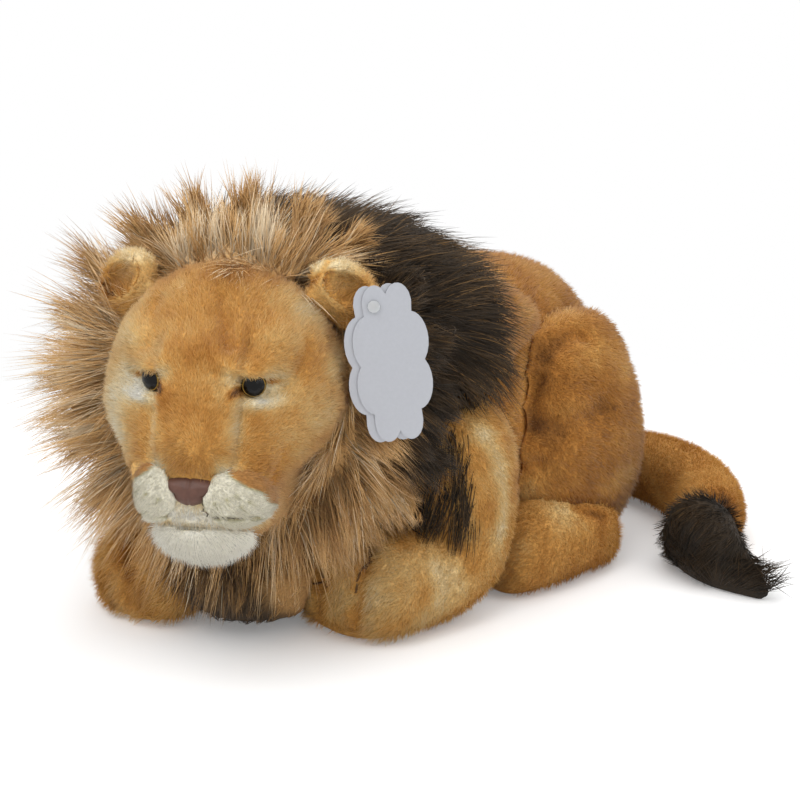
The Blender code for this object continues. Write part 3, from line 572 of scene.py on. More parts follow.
@dataclass(frozen=True)
class Coat:
    """One coat of pile: how many fibres it has, and how they lie.

    Lengths are in metres, densities in fibres for each square metre and lift in degrees from the hide.
    """

    density: float
    length: float
    width: float
    lift: float
    spread: float = 0.35
    stray: float = 0.22
    lock_density: float = 0.0
    gather: float = 0.0
    lock_stray: float = 0.0
    lock_spread: float = 0.0
    sag: float = 0.0
    tone_spread: float = 0.10
    lock_tone: float = 0.0
    fleck: float = 0.0
    segments: int = 1


# Seeds of the tree's draws, counted from the coat's own
LOCK_SEED = 71.0
FIRST_DRAW = 3.0
NEXT_DRAW = 2.0

# A fibre's dye stays within these tones. Pale flecks are the rarer, the higher their power.
TONES = (0.02, 0.98)
FLECK_POWER = 7.0

# Added to a normal, so that a fibre that stands straight up still has a side to it
TILT = (0.013, 0.007, 0.003)


def labelled(name: str) -> str:
    """Give the name that a size of the coat has among the tree's inputs."""
    return name.replace("_", " ").title()


def pile_tree() -> bpy.types.NodeTree:
    """Build the tree that grows a coat of pile on a hide.

    Fibres start at random points of the hide. Each leans along the hide's combing, and may be drawn
    to the middle of the lock that it belongs to. A fibre is a three-sided taper with its foot sunk in the hide.

    Returns:
        The Geometry Nodes tree.
    """
    sizes = {labelled(size.name): "Int" if size.type is int else "Float" for size in fields(Coat)}
    tree, given = start_group("grow_pile", {**sizes, "Seed": "Int"})
    made = partial(add_socket, tree)

    def read(name: str, kind: str = "FLOAT") -> bpy.types.NodeSocket:
        """Read a field that an earlier step wrote."""
        return made(READ, {"Name": FIELD + name}, data_type=kind)

    # Where fibres and the middles of their locks stand.
    cover = read("cover")
    thick = made(MATH, {0: given["Density"], 1: cover}, operation="MULTIPLY")
    roots = add_node(tree, SCATTER, {"Mesh": given["Geometry"], "Density": thick, "Seed": given["Seed"]}).outputs
    thin = made(MATH, {0: given["Lock Density"], 1: cover}, operation="MULTIPLY")
    lock_seed = made(MATH, {0: given["Seed"], 1: LOCK_SEED}, operation="ADD")
    locks = made(SCATTER, {"Mesh": given["Geometry"], "Density": thin, "Seed": lock_seed})
    place = made("GeometryNodeInputPosition")
    lock = made("GeometryNodeSampleNearest", {"Geometry": locks, "Sample Position": place})
    lock_place = made("GeometryNodeSampleIndex", {"Geometry": locks, "Value": place, "Index": lock},
                      data_type="FLOAT_VECTOR")
    draws = {}
    for order, (name, kind, shared) in enumerate((
            ("own_way", "FLOAT_VECTOR", False), ("lock_way", "FLOAT_VECTOR", True),
            ("own_size", "FLOAT", False), ("lock_size", "FLOAT", True),
            ("own_tone", "FLOAT", False), ("lock_tone", "FLOAT", True), ("fleck", "FLOAT", False))):
        seed = made(MATH, {0: given["Seed"], 1: FIRST_DRAW + NEXT_DRAW * order}, operation="ADD")
        node = add_node(tree, DRAW, {"Seed": seed, "ID": lock} if shared else {"Seed": seed}, data_type=kind)
        node.inputs[0].default_value = (-1.0, -1.0, -1.0)
        draws[name] = next(out for out in node.outputs if out.enabled)

    # Which way a fibre points: along the combing, lifted off the hide, and a little astray.
    angle = made(MATH, {0: given["Lift"]}, operation="RADIANS")
    terms = (
        (read("comb", "FLOAT_VECTOR"), made(MATH, {0: angle}, operation="COSINE")),
        (roots["Normal"], made(MATH, {0: angle}, operation="SINE")),
        (draws["own_way"], given["Stray"]),
        (draws["lock_way"], given["Lock Stray"]),
    )
    way = None
    for direction, amount in terms:
        term = made(VECTOR, {0: direction, "Scale": amount}, operation="SCALE")
        way = term if way is None else made(VECTOR, {0: way, 1: term}, operation="ADD")
    way = made(VECTOR, {0: way}, operation="NORMALIZE")

    # How long it is, how far it is drawn to its lock's middle, and how far it falls.
    length = made(MATH, {0: given["Length"], 1: read("reach")}, operation="MULTIPLY")
    for size, spread in (("own_size", "Spread"), ("lock_size", "Lock Spread")):
        lost = made(MATH, {0: draws[size], 1: given[spread]}, operation="MULTIPLY")
        kept = made(MATH, {0: 1.0, 1: lost}, operation="SUBTRACT")
        length = made(MATH, {0: length, 1: kept}, operation="MULTIPLY")
    to_lock = made(VECTOR, {0: lock_place, 1: place}, operation="SUBTRACT")
    to_lock = made(VECTOR, {0: to_lock, "Scale": given["Gather"]}, operation="SCALE")
    fall = made(MATH, {0: length, 1: given["Sag"]}, operation="MULTIPLY")
    drop = made(JOINED, {"Z": made(MATH, {0: fall, 1: -1.0}, operation="MULTIPLY")})
    tilted = made(VECTOR, {0: roots["Normal"], 1: TILT}, operation="ADD")
    across = made(VECTOR, {0: made(VECTOR, {0: way, 1: tilted}, operation="CROSS_PRODUCT")}, operation="NORMALIZE")
    upright = made(VECTOR, {0: way, 1: across}, operation="CROSS_PRODUCT")

    # Its dye: the hide's tone, and a share of its own and of its lock's.
    tone = read("tone")
    for draw, share in (("own_tone", "Tone Spread"), ("lock_tone", "Lock Tone")):
        level = made(MATH, {0: draws[draw], 1: 0.5}, operation="SUBTRACT")
        tone = made(MATH, {0: level, 1: given[share], 2: tone}, operation="MULTIPLY_ADD")
    rare = made(MATH, {0: draws["fleck"], 1: FLECK_POWER}, operation="POWER")
    tone = made(MATH, {0: rare, 1: given["Fleck"], 2: tone}, operation="MULTIPLY_ADD")
    tone = made(MATH, {0: made(MATH, {0: tone, 1: TONES[0]}, operation="MAXIMUM"), 1: TONES[1]}, operation="MINIMUM")

    # What the fibre keeps for its own mesh: its foot, its line and its thickness.
    sunk = made(VECTOR, {0: roots["Normal"], "Scale": -FOOT_DEPTH}, operation="SCALE")
    points = roots["Points"]
    for name, value, kind in (
            ("root", made(VECTOR, {0: place, 1: sunk}, operation="ADD"), "FLOAT_VECTOR"),
            ("rise", made(VECTOR, {0: way, "Scale": length}, operation="SCALE"), "FLOAT_VECTOR"),
            ("bend", made(VECTOR, {0: to_lock, 1: drop}, operation="ADD"), "FLOAT_VECTOR"),
            ("side", made(VECTOR, {0: across, "Scale": given["Width"]}, operation="SCALE"), "FLOAT_VECTOR"),
            ("flat", made(VECTOR, {0: upright, "Scale": given["Width"]}, operation="SCALE"), "FLOAT_VECTOR"),
            ("shade", tone, "FLOAT")):
        points = made(STORE, {"Geometry": points, "Name": FIELD + name, "Value": value},
                      data_type=kind, domain="POINT")

    # One three-sided taper for each, bent to its own line.
    fibre = made("GeometryNodeMeshCone",
                 {"Vertices": 3, "Side Segments": given["Segments"], "Radius Top": 0.0, "Radius Bottom": 1.0,
                  "Depth": 1.0}, fill_type="NONE")
    fibre = made(STORE, {"Geometry": fibre, "Name": f"{FIELD}fibre", "Value": place},
                 data_type="FLOAT_VECTOR", domain="POINT")
    pile = made("GeometryNodeInstanceOnPoints", {"Points": points, "Instance": fibre})
    pile = made("GeometryNodeRealizeInstances", {"Geometry": pile})
    along = add_node(tree, SPLIT, {0: read("fibre", "FLOAT_VECTOR")}).outputs
    fullness = made(MATH, {0: along[2], 1: 1.0}, operation="ADD")
    line = read("root", "FLOAT_VECTOR")
    for name, share in (
            ("rise", along[2]),
            ("bend", made(MATH, {0: along[2], 1: along[2]}, operation="MULTIPLY")),
            ("side", made(MATH, {0: along[0], 1: fullness}, operation="MULTIPLY")),
            ("flat", made(MATH, {0: along[1], 1: fullness}, operation="MULTIPLY"))):
        part = made(VECTOR, {0: read(name, "FLOAT_VECTOR"), "Scale": share}, operation="SCALE")
        line = made(VECTOR, {0: line, 1: part}, operation="ADD")
    high = add_node(tree, SPLIT, {0: line}).outputs
    lowest = made(MATH, {0: high[2], 1: FLOOR_CLEARANCE}, operation="MAXIMUM")
    line = made(JOINED, {"X": high[0], "Y": high[1], "Z": lowest})
    pile = made("GeometryNodeSetPosition", {"Geometry": pile, "Position": line})

    # The map that the dye is read from: tone across, root to tip up.
    dye = made(MATH, {0: along[0], 1: 0.004, 2: read("shade")}, operation="MULTIPLY_ADD")
    depth = made(MATH, {0: along[2], 1: 0.94, 2: 0.03}, operation="MULTIPLY_ADD")
    depth = made(MATH, {0: along[1], 1: 0.02, 2: depth}, operation="MULTIPLY_ADD")
    pile = made(STORE, {"Geometry": pile, "Name": "OFBake", "Value": made(JOINED, {"X": dye, "Y": depth})},
                data_type="FLOAT2", domain="CORNER")
    end_group(tree, pile, given["Material"])
    return tree


def add_object(name: str, data: bpy.types.ID) -> bpy.types.Object:
    """Add an object at the origin.

    Args:
        name: The object's name.
        data: Its mesh, in world places, or its lamp or camera.

    Returns:
        The object.
    """
    piece = bpy.data.objects.new(name, data)
    bpy.context.scene.collection.objects.link(piece)
    return piece


def settled(piece: bpy.types.Object) -> bpy.types.Mesh:
    """Give a piece's mesh with its modifiers applied, as a new mesh."""
    graph = bpy.context.evaluated_depsgraph_get()
    graph.update()
    return bpy.data.meshes.new_from_object(piece.evaluated_get(graph), depsgraph=graph)


def settle(piece: bpy.types.Object) -> None:
    """Apply a piece's modifiers to it."""
    mesh = settled(piece)
    old = piece.data
    piece.modifiers.clear()
    piece.data = mesh
    bpy.data.meshes.remove(old)


def run_tree(piece: bpy.types.Object, tree: bpy.types.NodeTree, values: dict[str, object]) -> None:
    """Run a Geometry Nodes tree on a piece, and apply it.

    Args:
        piece: The piece, whose mesh goes in and is replaced by what comes out.
        tree: The tree.
        values: Name of each input, with its value.
    """
    modifier = piece.modifiers.new(tree.name, "NODES")
    modifier.node_group = tree
    sockets = {item.name: item.identifier for item in tree.interface.items_tree if item.in_out == "INPUT"}
    for label, value in values.items():
        modifier[sockets[label]] = value
    settle(piece)


def places_of(mesh: bpy.types.Mesh) -> Array:
    """Read a mesh's places as rows."""
    return rows_of(mesh.vertices, "co")


def normals_of(mesh: bpy.types.Mesh) -> Array:
    """Read a mesh's vertex normals as rows."""
    return rows_of(mesh.vertex_normals, "vector")


def rows_of(items: bpy.types.bpy_prop_collection, name: str) -> Array:
    """Read a vector from each item of a mesh, as rows."""
    flat = np.empty(len(items) * 3, dtype=np.float32)
    items.foreach_get(name, flat)
    return flat.reshape(-1, 3).astype(float)


def move_to(mesh: bpy.types.Mesh, places: Array) -> None:
    """Put a mesh's vertices at new places."""
    mesh.vertices.foreach_set("co", places.astype(np.float32).ravel())
    mesh.update()


def write_field(mesh: bpy.types.Mesh, name: str, values: Array) -> None:
    """Write a number or a vector for each vertex, for the pile to read.

    Args:
        mesh: The hide's mesh.
        name: The field's name.
        values: One row for each vertex.
    """
    vector = values.ndim == 2
    layer = mesh.attributes.get(FIELD + name)
    layer = layer or mesh.attributes.new(FIELD + name, "FLOAT_VECTOR" if vector else "FLOAT", "POINT")
    layer.data.foreach_set("vector" if vector else "value", values.astype(np.float32).ravel())


def read_field(mesh: bpy.types.Mesh, name: str) -> Array:
    """Read back a number that was written for each vertex."""
    values = np.empty(len(mesh.vertices), dtype=np.float32)
    mesh.attributes[FIELD + name].data.foreach_get("value", values)
    return values


def merged_copy(node: str) -> bpy.types.Mesh:
    """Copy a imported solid's mesh with its loose triangles joined."""
    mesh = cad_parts[node].data.copy()
    bm = bmesh.new()
    bm.from_mesh(mesh)
    bmesh.ops.remove_doubles(bm, verts=bm.verts, dist=MERGE_DISTANCE)
    bm.to_mesh(mesh)
    bm.free()
    mesh.materials.clear()
    return mesh


def tree_of(nodes: list[str]) -> BVHTree:
    """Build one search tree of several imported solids."""
    places, faces = [], []
    for node in nodes:
        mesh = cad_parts[node].data
        mesh.calc_loop_triangles()
        start = len(places)
        places += [vertex.co.copy() for vertex in mesh.vertices]
        faces += [tuple(start + at for at in face.vertices) for face in mesh.loop_triangles]
    return BVHTree.FromPolygons(places, faces)


def openness(mesh: bpy.types.Mesh, node: str) -> Array:
    """Find which places of a hide lie open, and not against another piece or the floor.

    Args:
        mesh: The hide's mesh.
        node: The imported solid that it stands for.

    Returns:
        1 for each open vertex and 0 for each hidden one.
    """
    others = tree_of([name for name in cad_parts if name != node])
    open_here = np.ones(len(mesh.vertices))
    places, normals = places_of(mesh), normals_of(mesh)
    for at, (place, normal) in enumerate(zip(places, normals)):
        start = Vector(place + normal * HIDDEN_START)
        if others.ray_cast(start, Vector(normal), HIDDEN_REACH)[0] is not None:
            open_here[at] = 0.0
    resting = (places[:, 2] < RESTING_HEIGHT) & (normals[:, 2] < RESTING_FALL)
    open_here[resting] = 0.0
    return open_here


class Card:
    """The hanging card, which lies on the mane and presses its pile back.

    It clears the space behind it, and a slope round its edge. Pile that stood farther out still lies
    farther out afterwards, by a small share.
    """

    clearance = 0.0014
    slope = 1.1
    margin = 0.014
    reach = 0.045
    kept = 0.06
    sectors = 48

    def __init__(self) -> None:
        """Find the card's plane and outline from its packed leaves."""
        back, front = (places_of(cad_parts[node].data) for node in ("tag_back_leaf", "tag_front_leaf"))
        self.middle = back.mean(axis=0)
        self.axes = np.linalg.svd(back - self.middle, full_matrices=False)[2]
        if (front.mean(axis=0) - self.middle) @ self.axes[2] < 0:
            self.axes[2] *= -1
        flat = (np.vstack((back, front)) - self.middle) @ self.axes.T
        self.edge = np.zeros(self.sectors)
        np.maximum.at(self.edge, self.sector(flat), np.hypot(flat[:, 0], flat[:, 1]))

    def sector(self, flat: Array) -> Array:
        """Give the sector of the card, round its middle, that each place lies in."""
        turn = np.arctan2(flat[:, 1], flat[:, 0]) / (2 * math.pi) + 0.5
        return (turn * self.sectors).astype(int) % self.sectors

    def pressed(self, places: Array) -> Array:
        """Press places back behind the card, less and less beyond its edge.

        Args:
            places: Places of pile, in metres.

        Returns:
            Their new places.
        """
        flat = (places - self.middle) @ self.axes.T
        beyond = np.maximum(np.hypot(flat[:, 0], flat[:, 1]) - self.edge[self.sector(flat)], 0.0)
        most = self.slope * beyond - self.clearance
        over = flat[:, 2] - most
        pressed = (over > 0) & (beyond < self.margin) & (flat[:, 2] < self.reach)
        flat[pressed, 2] = (most - self.kept * over)[pressed]
        return flat @ self.axes + self.middle


def grow(hide: bpy.types.Object, name: str, coat: Coat, finish: PileFinish, seed: int) -> bpy.types.Object:
    """Grow a coat on a hide, as one plain mesh.

    Args:
        hide: The hide, with its fields.
        name: The name of the coat's piece.
        coat: How the pile lies.
        finish: What it is made of.
        seed: Number that picks its random draws.

    Returns:
        The coat's object.
    """
    tree = bpy.data.node_groups.get("grow_pile") or pile_tree()
    material = bpy.data.materials.get(f"{finish.name}_fibres") or finish.fibres()
    piece = add_object(name, hide.data.copy())
    sizes = {labelled(size): value for size, value in asdict(coat).items()}
    run_tree(piece, tree, {**sizes, "Seed": seed, "Material": material})
    move_to(piece.data, CARD.pressed(places_of(piece.data)))
    LOG.info("%s: %d faces", name, len(piece.data.polygons))
    return piece


CARD = Card()


# Stuffed forms


@dataclass(frozen=True)
class Tint:
    """A soft patch of lighter or darker pile, or of a higher or lower hide, in the form's own axes."""

    centre: Point
    radii: Point
    amount: float


def raised(points: Array, tints: tuple[Tint, ...]) -> Array:
    """Add up soft patches.

    Args:
        points: Places, in the axes of the patches.
        tints: The patches.

    Returns:
        How much they come to at each place.
    """
    return sum((tint.amount * spot(points, tint.centre, tint.radii) for tint in tints), np.zeros(len(points)))


@dataclass(frozen=True)
class Crease:
    """A line where the hide is drawn in, in the form's own axes. Its pile is darkened there by painted shade."""

    path: tuple[Point, ...]
    depth: float
    width: float
    # How much painted shade darkens the pile along the crease
    shade: float = 0.12
    shorn: float = 0.45


@dataclass(frozen=True)
class Overlay:
    """A patch of long mane that hangs over a form, between two heights and two depths.

    Each pair says where the patch begins and where it is full, and under how much of it grows where
    other pieces lie close.
    """

    name: str
    coat: Coat
    finish: PileFinish
    tone: float
    high: tuple[float, float]
    forward: tuple[float, float]
    comb: Point
    under: float = 0.0

    def dressed(self, hide: bpy.types.Object) -> bpy.types.Object:
        """Copy a hide with this patch's own fields."""
        patch = add_object("patch", hide.data.copy())
        places = places_of(patch.data)
        keep = smoothstep(*self.high, places[:, 2]) * smoothstep(*self.forward, places[:, 1])
        normals = normals_of(patch.data)
        comb = combed(np.array(self.comb), normals, 0.25 * swirls(places, 0.018, 31))
        write_field(patch.data, "cover", np.maximum(read_field(patch.data, "open"), self.under) * keep)
        write_field(patch.data, "comb", comb)
        write_field(patch.data, "tone", self.tone + 0.05 * mottle(places, 0.012, 34))
        write_field(patch.data, "reach", np.ones(len(places)))
        return patch


class Flow(Enum):
    """The way that a form's pile is combed."""

    BACKWARDS = (0.0, 1.0, -0.35)
    DOWN_AND_BACK = (0.0, 0.55, -0.85)
    FORWARDS = (0.0, -1.0, -0.25)
    DOWN = (0.0, 0.1, -1.0)


SHORT_COAT = Coat(density=9.0e5, length=0.0066, width=0.00024, lift=42, stray=0.30, tone_spread=0.15,
                  lock_density=1.2e5, gather=0.35, lock_stray=0.22, lock_spread=0.2, lock_tone=0.07)


@dataclass
class StuffedForm:
    """A stuffed form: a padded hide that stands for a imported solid, and the pile on it."""

    node: str
    body: str
    seed: int
    flow: Flow = Flow.BACKWARDS
    coat: Coat = SHORT_COAT
    finish: PileFinish = TAN_PILE
    voxel: float = 0.0045
    easing: int = 6
    swell: float = 0.0006
    cap: float = 0.0022
    fill: float = 0.75
    tone: float = 0.47
    mottling: float = 0.055
    tints: tuple[Tint, ...] = ()
    mounds: tuple[Tint, ...] = ()
    creases: tuple[Crease, ...] = ()
    overlays: tuple[Overlay, ...] = ()
    coats: int = 1
    pressed: bool = True
    pressure: float = 4.0
    steps: int = 20

    def own_places(self, places: Array) -> Array:
        """Give places in the form's own axes."""
        return places

    def comb(self, places: Array) -> Array:
        """Give the direction of the pile at each place."""
        return np.tile(np.array(self.flow.value), (len(places), 1))

    def skin(self) -> bpy.types.Material:
        """Give the material of the hide itself."""
        return bpy.data.materials.get(f"{self.finish.name}_backing") or self.finish.backing()

    def in_creases(self, places: Array) -> list[tuple[Crease, Array]]:
        """Give each crease with how deep in it each place lies, from 0 to 1."""
        own = self.own_places(places)
        return [(crease, np.exp(-(line_distance(own, laid(crease.path, own)) / crease.width) ** 2))
                for crease in self.creases]

    def reach(self, places: Array) -> Array:
        """Give the length of the pile at each place, as a share of the coat's. It is shorter in creases."""
        share = np.ones(len(places))
        for crease, near in self.in_creases(places):
            share -= crease.shorn * near
        return np.maximum(share, 0.2)

    def thin(self, places: Array) -> Array:
        """Give how much of the pile's density each place keeps."""
        return np.ones(len(places))

    def sculpt(self, places: Array, normals: Array) -> Array:
        """Raise the hide's mounds, and draw it in along its creases."""
        for mound in self.mounds:
            places = places + normals * raised(self.own_places(places), (mound,))[:, None]
        for crease, near in self.in_creases(places):
            places = places - normals * (crease.depth * near)[:, None]
        return places

    def shade(self, places: Array) -> Array:
        """Give the pile's tone at each place, with painted shade in the creases."""
        tone = self.tone + self.mottling * mottle(places, 0.016, self.seed)
        tone += 0.4 * self.mottling * mottle(places, 0.006, self.seed + 1)
        # Tints add paler and darker pile, and on some forms painted shade and painted light.
        tone += raised(self.own_places(places), self.tints)
        # Each crease darkens the pile with painted shade.
        for crease, near in self.in_creases(places):
            tone -= crease.shade * near
        return np.clip(tone, 0.01, 0.99)

    def swollen(self, hide: bpy.types.Object) -> None:
        """Let the filling press the hide outwards, by a short cloth simulation with a cap."""
        cloth = hide.modifiers.new("filling", "CLOTH")
        cloth.settings.use_pressure = True
        cloth.settings.uniform_pressure_force = self.pressure
        cloth.settings.effector_weights.gravity = 0.0
        cloth.collision_settings.use_collision = False
        scene = bpy.context.scene
        for step in range(self.steps):
            scene.frame_set(step + 1)
        evaluated = settled(hide)
        before, after = places_of(hide.data), places_of(evaluated)
        bpy.data.meshes.remove(evaluated)
        hide.modifiers.remove(cloth)
        scene.frame_set(1)
        move = after - before
        far = np.maximum(np.linalg.norm(move, axis=1), 1e-9)
        move *= (np.minimum(far, self.cap) / far * read_field(hide.data, "cover"))[:, None]
        move_to(hide.data, before + move)

    def shell(self) -> bpy.types.Object:
        """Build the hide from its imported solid: an even skin, eased, filled and made finer."""
        hide = add_object(f"{self.node}_hide", merged_copy(self.node))
        even = hide.modifiers.new("even", "REMESH")
        even.mode = "VOXEL"
        even.voxel_size = self.voxel
        even.use_smooth_shade = True
        ease = hide.modifiers.new("ease", "SMOOTH")
        ease.factor = 0.5
        ease.iterations = self.easing
        settle(hide)
        write_field(hide.data, "cover", openness(hide.data, self.node))
        if self.pressed:
            self.swollen(hide)
        finer = hide.modifiers.new("finer", "SUBSURF")
        finer.levels = finer.render_levels = 1
        settle(hide)
        return hide

    def hide(self) -> bpy.types.Object:
        """Build the hide, sculpted and with the fields of its pile."""
        hide = self.shell()
        mesh = hide.data
        places, normals = places_of(mesh), normals_of(mesh)
        places = self.sculpt(places + normals * self.swell, normals)
        places[:, 2] = np.maximum(places[:, 2], FLOOR_CLEARANCE)
        move_to(mesh, places)
        normals = normals_of(mesh)
        comb = combed(unit(self.comb(places)), normals, 0.22 * swirls(places, 0.02, self.seed + 5))
        write_field(mesh, "comb", comb)
        write_field(mesh, "tone", self.shade(places))
        write_field(mesh, "reach", self.reach(places))
        write_field(mesh, "open", read_field(mesh, "cover"))
        write_field(mesh, "cover", read_field(mesh, "cover") * self.thin(places))
        mesh.materials.append(self.skin())
        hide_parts(self.node)
        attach(hide, self.body)
        return hide

    def build(self) -> list[bpy.types.Object]:
        """Build the hide and its pile.

        Returns:
            The hide, and after it each piece of pile.
        """
        hide = self.hide()
        made = [hide]
        for at in range(self.coats):
            ending = f"_{at + 1}" if self.coats > 1 else ""
            pile = grow(hide, f"{self.node}_pile{ending}", self.coat, self.finish, self.seed * 10 + at)
            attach(pile, self.body)
            made.append(pile)
        for at, overlay in enumerate(self.overlays):
            patch = overlay.dressed(hide)
            pile = grow(patch, overlay.name, overlay.coat, overlay.finish, self.seed * 10 + 5 + at)
            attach(pile, self.body)
            bpy.data.objects.remove(patch)
            made.append(pile)
        LOG.info("%s: hide of %d faces", self.node, len(hide.data.polygons))
        return made


TORSO_MOUNDS = (
    Tint((0.030, 0.086, 0.150), (0.036, 0.042, 0.030), 0.0085),
    Tint((-0.030, 0.086, 0.150), (0.036, 0.042, 0.030), 0.0050),
)
THIGH_MOUNDS = (
    Tint((0.066, 0.090, 0.131), (0.020, 0.026, 0.012), 0.0035),
    Tint((0.078, 0.132, 0.095), (0.030, 0.030, 0.036), -0.0050),
)
THIGH_CREASES = (
    Crease(((0.0790, 0.0640, 0.1330), (0.0757, 0.0588, 0.1331), (0.0740, 0.0480, 0.1310), (0.0731, 0.0417, 0.1280),
            (0.0740, 0.0320, 0.1190), (0.0760, 0.0240, 0.1060), (0.0780, 0.0180, 0.0900)), 0.0042, 0.0060, 0.12),
    Crease(((0.0837, 0.0236, 0.0910), (0.0890, 0.0310, 0.0880), (0.0930, 0.0430, 0.0910), (0.0962, 0.0582, 0.0942)),
           0.0034, 0.0070, 0.09),
    Crease(((0.0765, 0.0112, 0.0667), (0.0820, 0.0190, 0.0690)), 0.0030, 0.0050, 0.12),
)
# The darker patch in the middle of the thigh is painted shade; the lighter patches at its edges and front are partly
# cream pile and partly painted light.
THIGH_TINTS = (
    Tint((0.092, 0.050, 0.072), (0.020, 0.026, 0.020), -0.07),
    Tint((0.085, 0.085, 0.118), (0.016, 0.030, 0.016), 0.06),
    Tint((0.080, 0.014, 0.056), (0.010, 0.010, 0.012), 0.16),
    Tint((0.060, 0.120, 0.090), (0.040, 0.020, 0.040), 0.05),
)
FOOT_CREASES = (
    Crease(((0.0970, 0.036, 0.0425), (0.1013, 0.0438, 0.0392), (0.1029, 0.0564, 0.0338)), 0.0022, 0.0035, 0.16),
)
FOOT_TINTS = (
    Tint((0.095, 0.026, 0.046), (0.010, 0.012, 0.008), 0.24),
    Tint((0.101, 0.022, 0.036), (0.008, 0.010, 0.010), 0.16),
    Tint((0.080, -0.008, 0.030), (0.020, 0.012, 0.016), 0.14),
)
TOE_CREASES = {
    "left_foreleg": (
        Crease(((0.0633, -0.0978, 0.0491), (0.0646, -0.1072, 0.0374), (0.0640, -0.1103, 0.0288),
                (0.0625, -0.1105, 0.0129)), 0.0048, 0.0040, 0.14),
        Crease(((0.0380, -0.1020, 0.0450), (0.0400, -0.1090, 0.0336), (0.0382, -0.1103, 0.0262),
                (0.0370, -0.1105, 0.0120)), 0.0048, 0.0040, 0.14),
    ),
    "right_foreleg": (
        Crease(((-0.0550, -0.1540, 0.0450), (-0.0535, -0.1630, 0.0336), (-0.0490, -0.1653, 0.0265),
                (-0.0480, -0.1655, 0.0120)), 0.0048, 0.0040, 0.14),
        Crease(((-0.0780, -0.1440, 0.0430), (-0.0790, -0.1530, 0.0330), (-0.0780, -0.1560, 0.0240),
                (-0.0770, -0.1560, 0.0120)), 0.0048, 0.0040, 0.14),
    ),
}
# Places of the dents between the toes, where painted shade darkens the pile
TOE_DENTS = {
    "left_foreleg": ((0.0646, -0.1072, 0.0374), (0.0646, -0.1097, 0.0288), (0.0407, -0.1090, 0.0336)),
    "right_foreleg": ((-0.0535, -0.1630, 0.0336), (-0.0490, -0.1653, 0.0265), (-0.0790, -0.1530, 0.0330)),
}


def leg_tints(side: str) -> tuple[Tint, ...]:
    """List a foreleg's tints: a cream back edge at the elbow, cream flanks on the paw, painted shade in the dents at
    the toes, and painted light on the left paw.
    """
    way = 1 if side == "left" else -1
    edge = ((93.5, -49.0, 105.9), (97.2, -43.6, 101.0), (100.2, -38.8, 89.6), (101.6, -37.6, 73.2),
            (101.7, -38.2, 56.8), (100.7, -40.0, 40.5))
    tints = [Tint((way * x / 1000, y / 1000, z / 1000), (0.0065, 0.0065, 0.011), 0.20) for x, y, z in edge]
    flank = ((90.0, -78.5, 38.0), (92.6, -78.2, 22.0), (94.4, -68.3, 36.0), (96.4, -64.9, 24.4))
    tints += [Tint((way * x / 1000, y / 1000, z / 1000), (0.007, 0.006, 0.012), 0.12) for x, y, z in flank]
    # Painted shade in the dents between the toes
    tints += [Tint(place, (0.0034, 0.0044, 0.0040), -0.36) for place in TOE_DENTS[f"{side}_foreleg"]]
    # Painted light on the left paw, lightening it where the ruff and the chin shade it from the key lamp
    if side == "left":
        tints.append(Tint((0.070, -0.098, 0.028), (0.036, 0.034, 0.026), 0.18))
    return tuple(tints)


class Leg(StuffedForm):
    """A foreleg: an upright upper arm and a forearm that lies forwards, with a shaggy paw."""

    def comb(self, places: Array) -> Array:
        """Comb down the arm, and forwards along the paw."""
        low = smoothstep(0.075, 0.045, places[:, 2])[:, None]
        return (1 - low) * np.array(Flow.DOWN.value) + low * np.array(Flow.FORWARDS.value)

    def reach(self, places: Array) -> Array:
        """Let the pile grow longer on the paw."""
        paw = smoothstep(-0.075, -0.100, places[:, 1]) * smoothstep(0.062, 0.045, places[:, 2])
        return super().reach(places) * (1.0 + 0.45 * paw)


class Tail(StuffedForm):
    """The tail, lying in a bend on the floor."""

    route = ((0.0, 0.168), (0.016, 0.190), (0.060, 0.186), (0.100, 0.165), (0.126, 0.136), (0.135, 0.105),
             (0.140, 0.060))

    def comb(self, places: Array) -> Array:
        """Comb along the tail towards its end."""
        route = np.array(self.route)
        nearest = np.argmin(np.linalg.norm(places[:, None, :2] - route[None, :-1], axis=2), axis=1)
        run = route[1:] - route[:-1]
        flat = run[nearest]
        return np.column_stack((flat, np.zeros(len(flat))))


class Tuft(Tail):
    """The dark tuft, whose end flicks up and to one side."""

    end = (0.190, 0.076, 0.008)
    flick = (0.80, 0.40, 0.62)

    def comb(self, places: Array) -> Array:
        """Comb along the tail, and aside at its end."""
        near = smoothstep(0.030, 0.010, np.linalg.norm(places - np.array(self.end), axis=1))[:, None]
        return unit(super().comb(places)) * (1 - near) + np.array(self.flick) * near

    def reach(self, places: Array) -> Array:
        """Let the longest fibres stand at the end."""
        return 0.8 + 0.5 * spot(places, self.end, (0.022, 0.022, 0.022))


class HeadForm(StuffedForm):
    """A form of the head: its tints and creases are in the head's own axes."""

    parting = (0.0, -0.118, 0.004)

    def own_places(self, places: Array) -> Array:
        """Give places in the head's own axes."""
        return in_head(places)

    def comb(self, places: Array) -> Array:
        """Comb away from the nose, up the brow and back over the cheeks."""
        own = in_head(places) - np.array(self.parting)
        return from_head(unit(own) + np.array((0.0, 0.35, -0.1)))


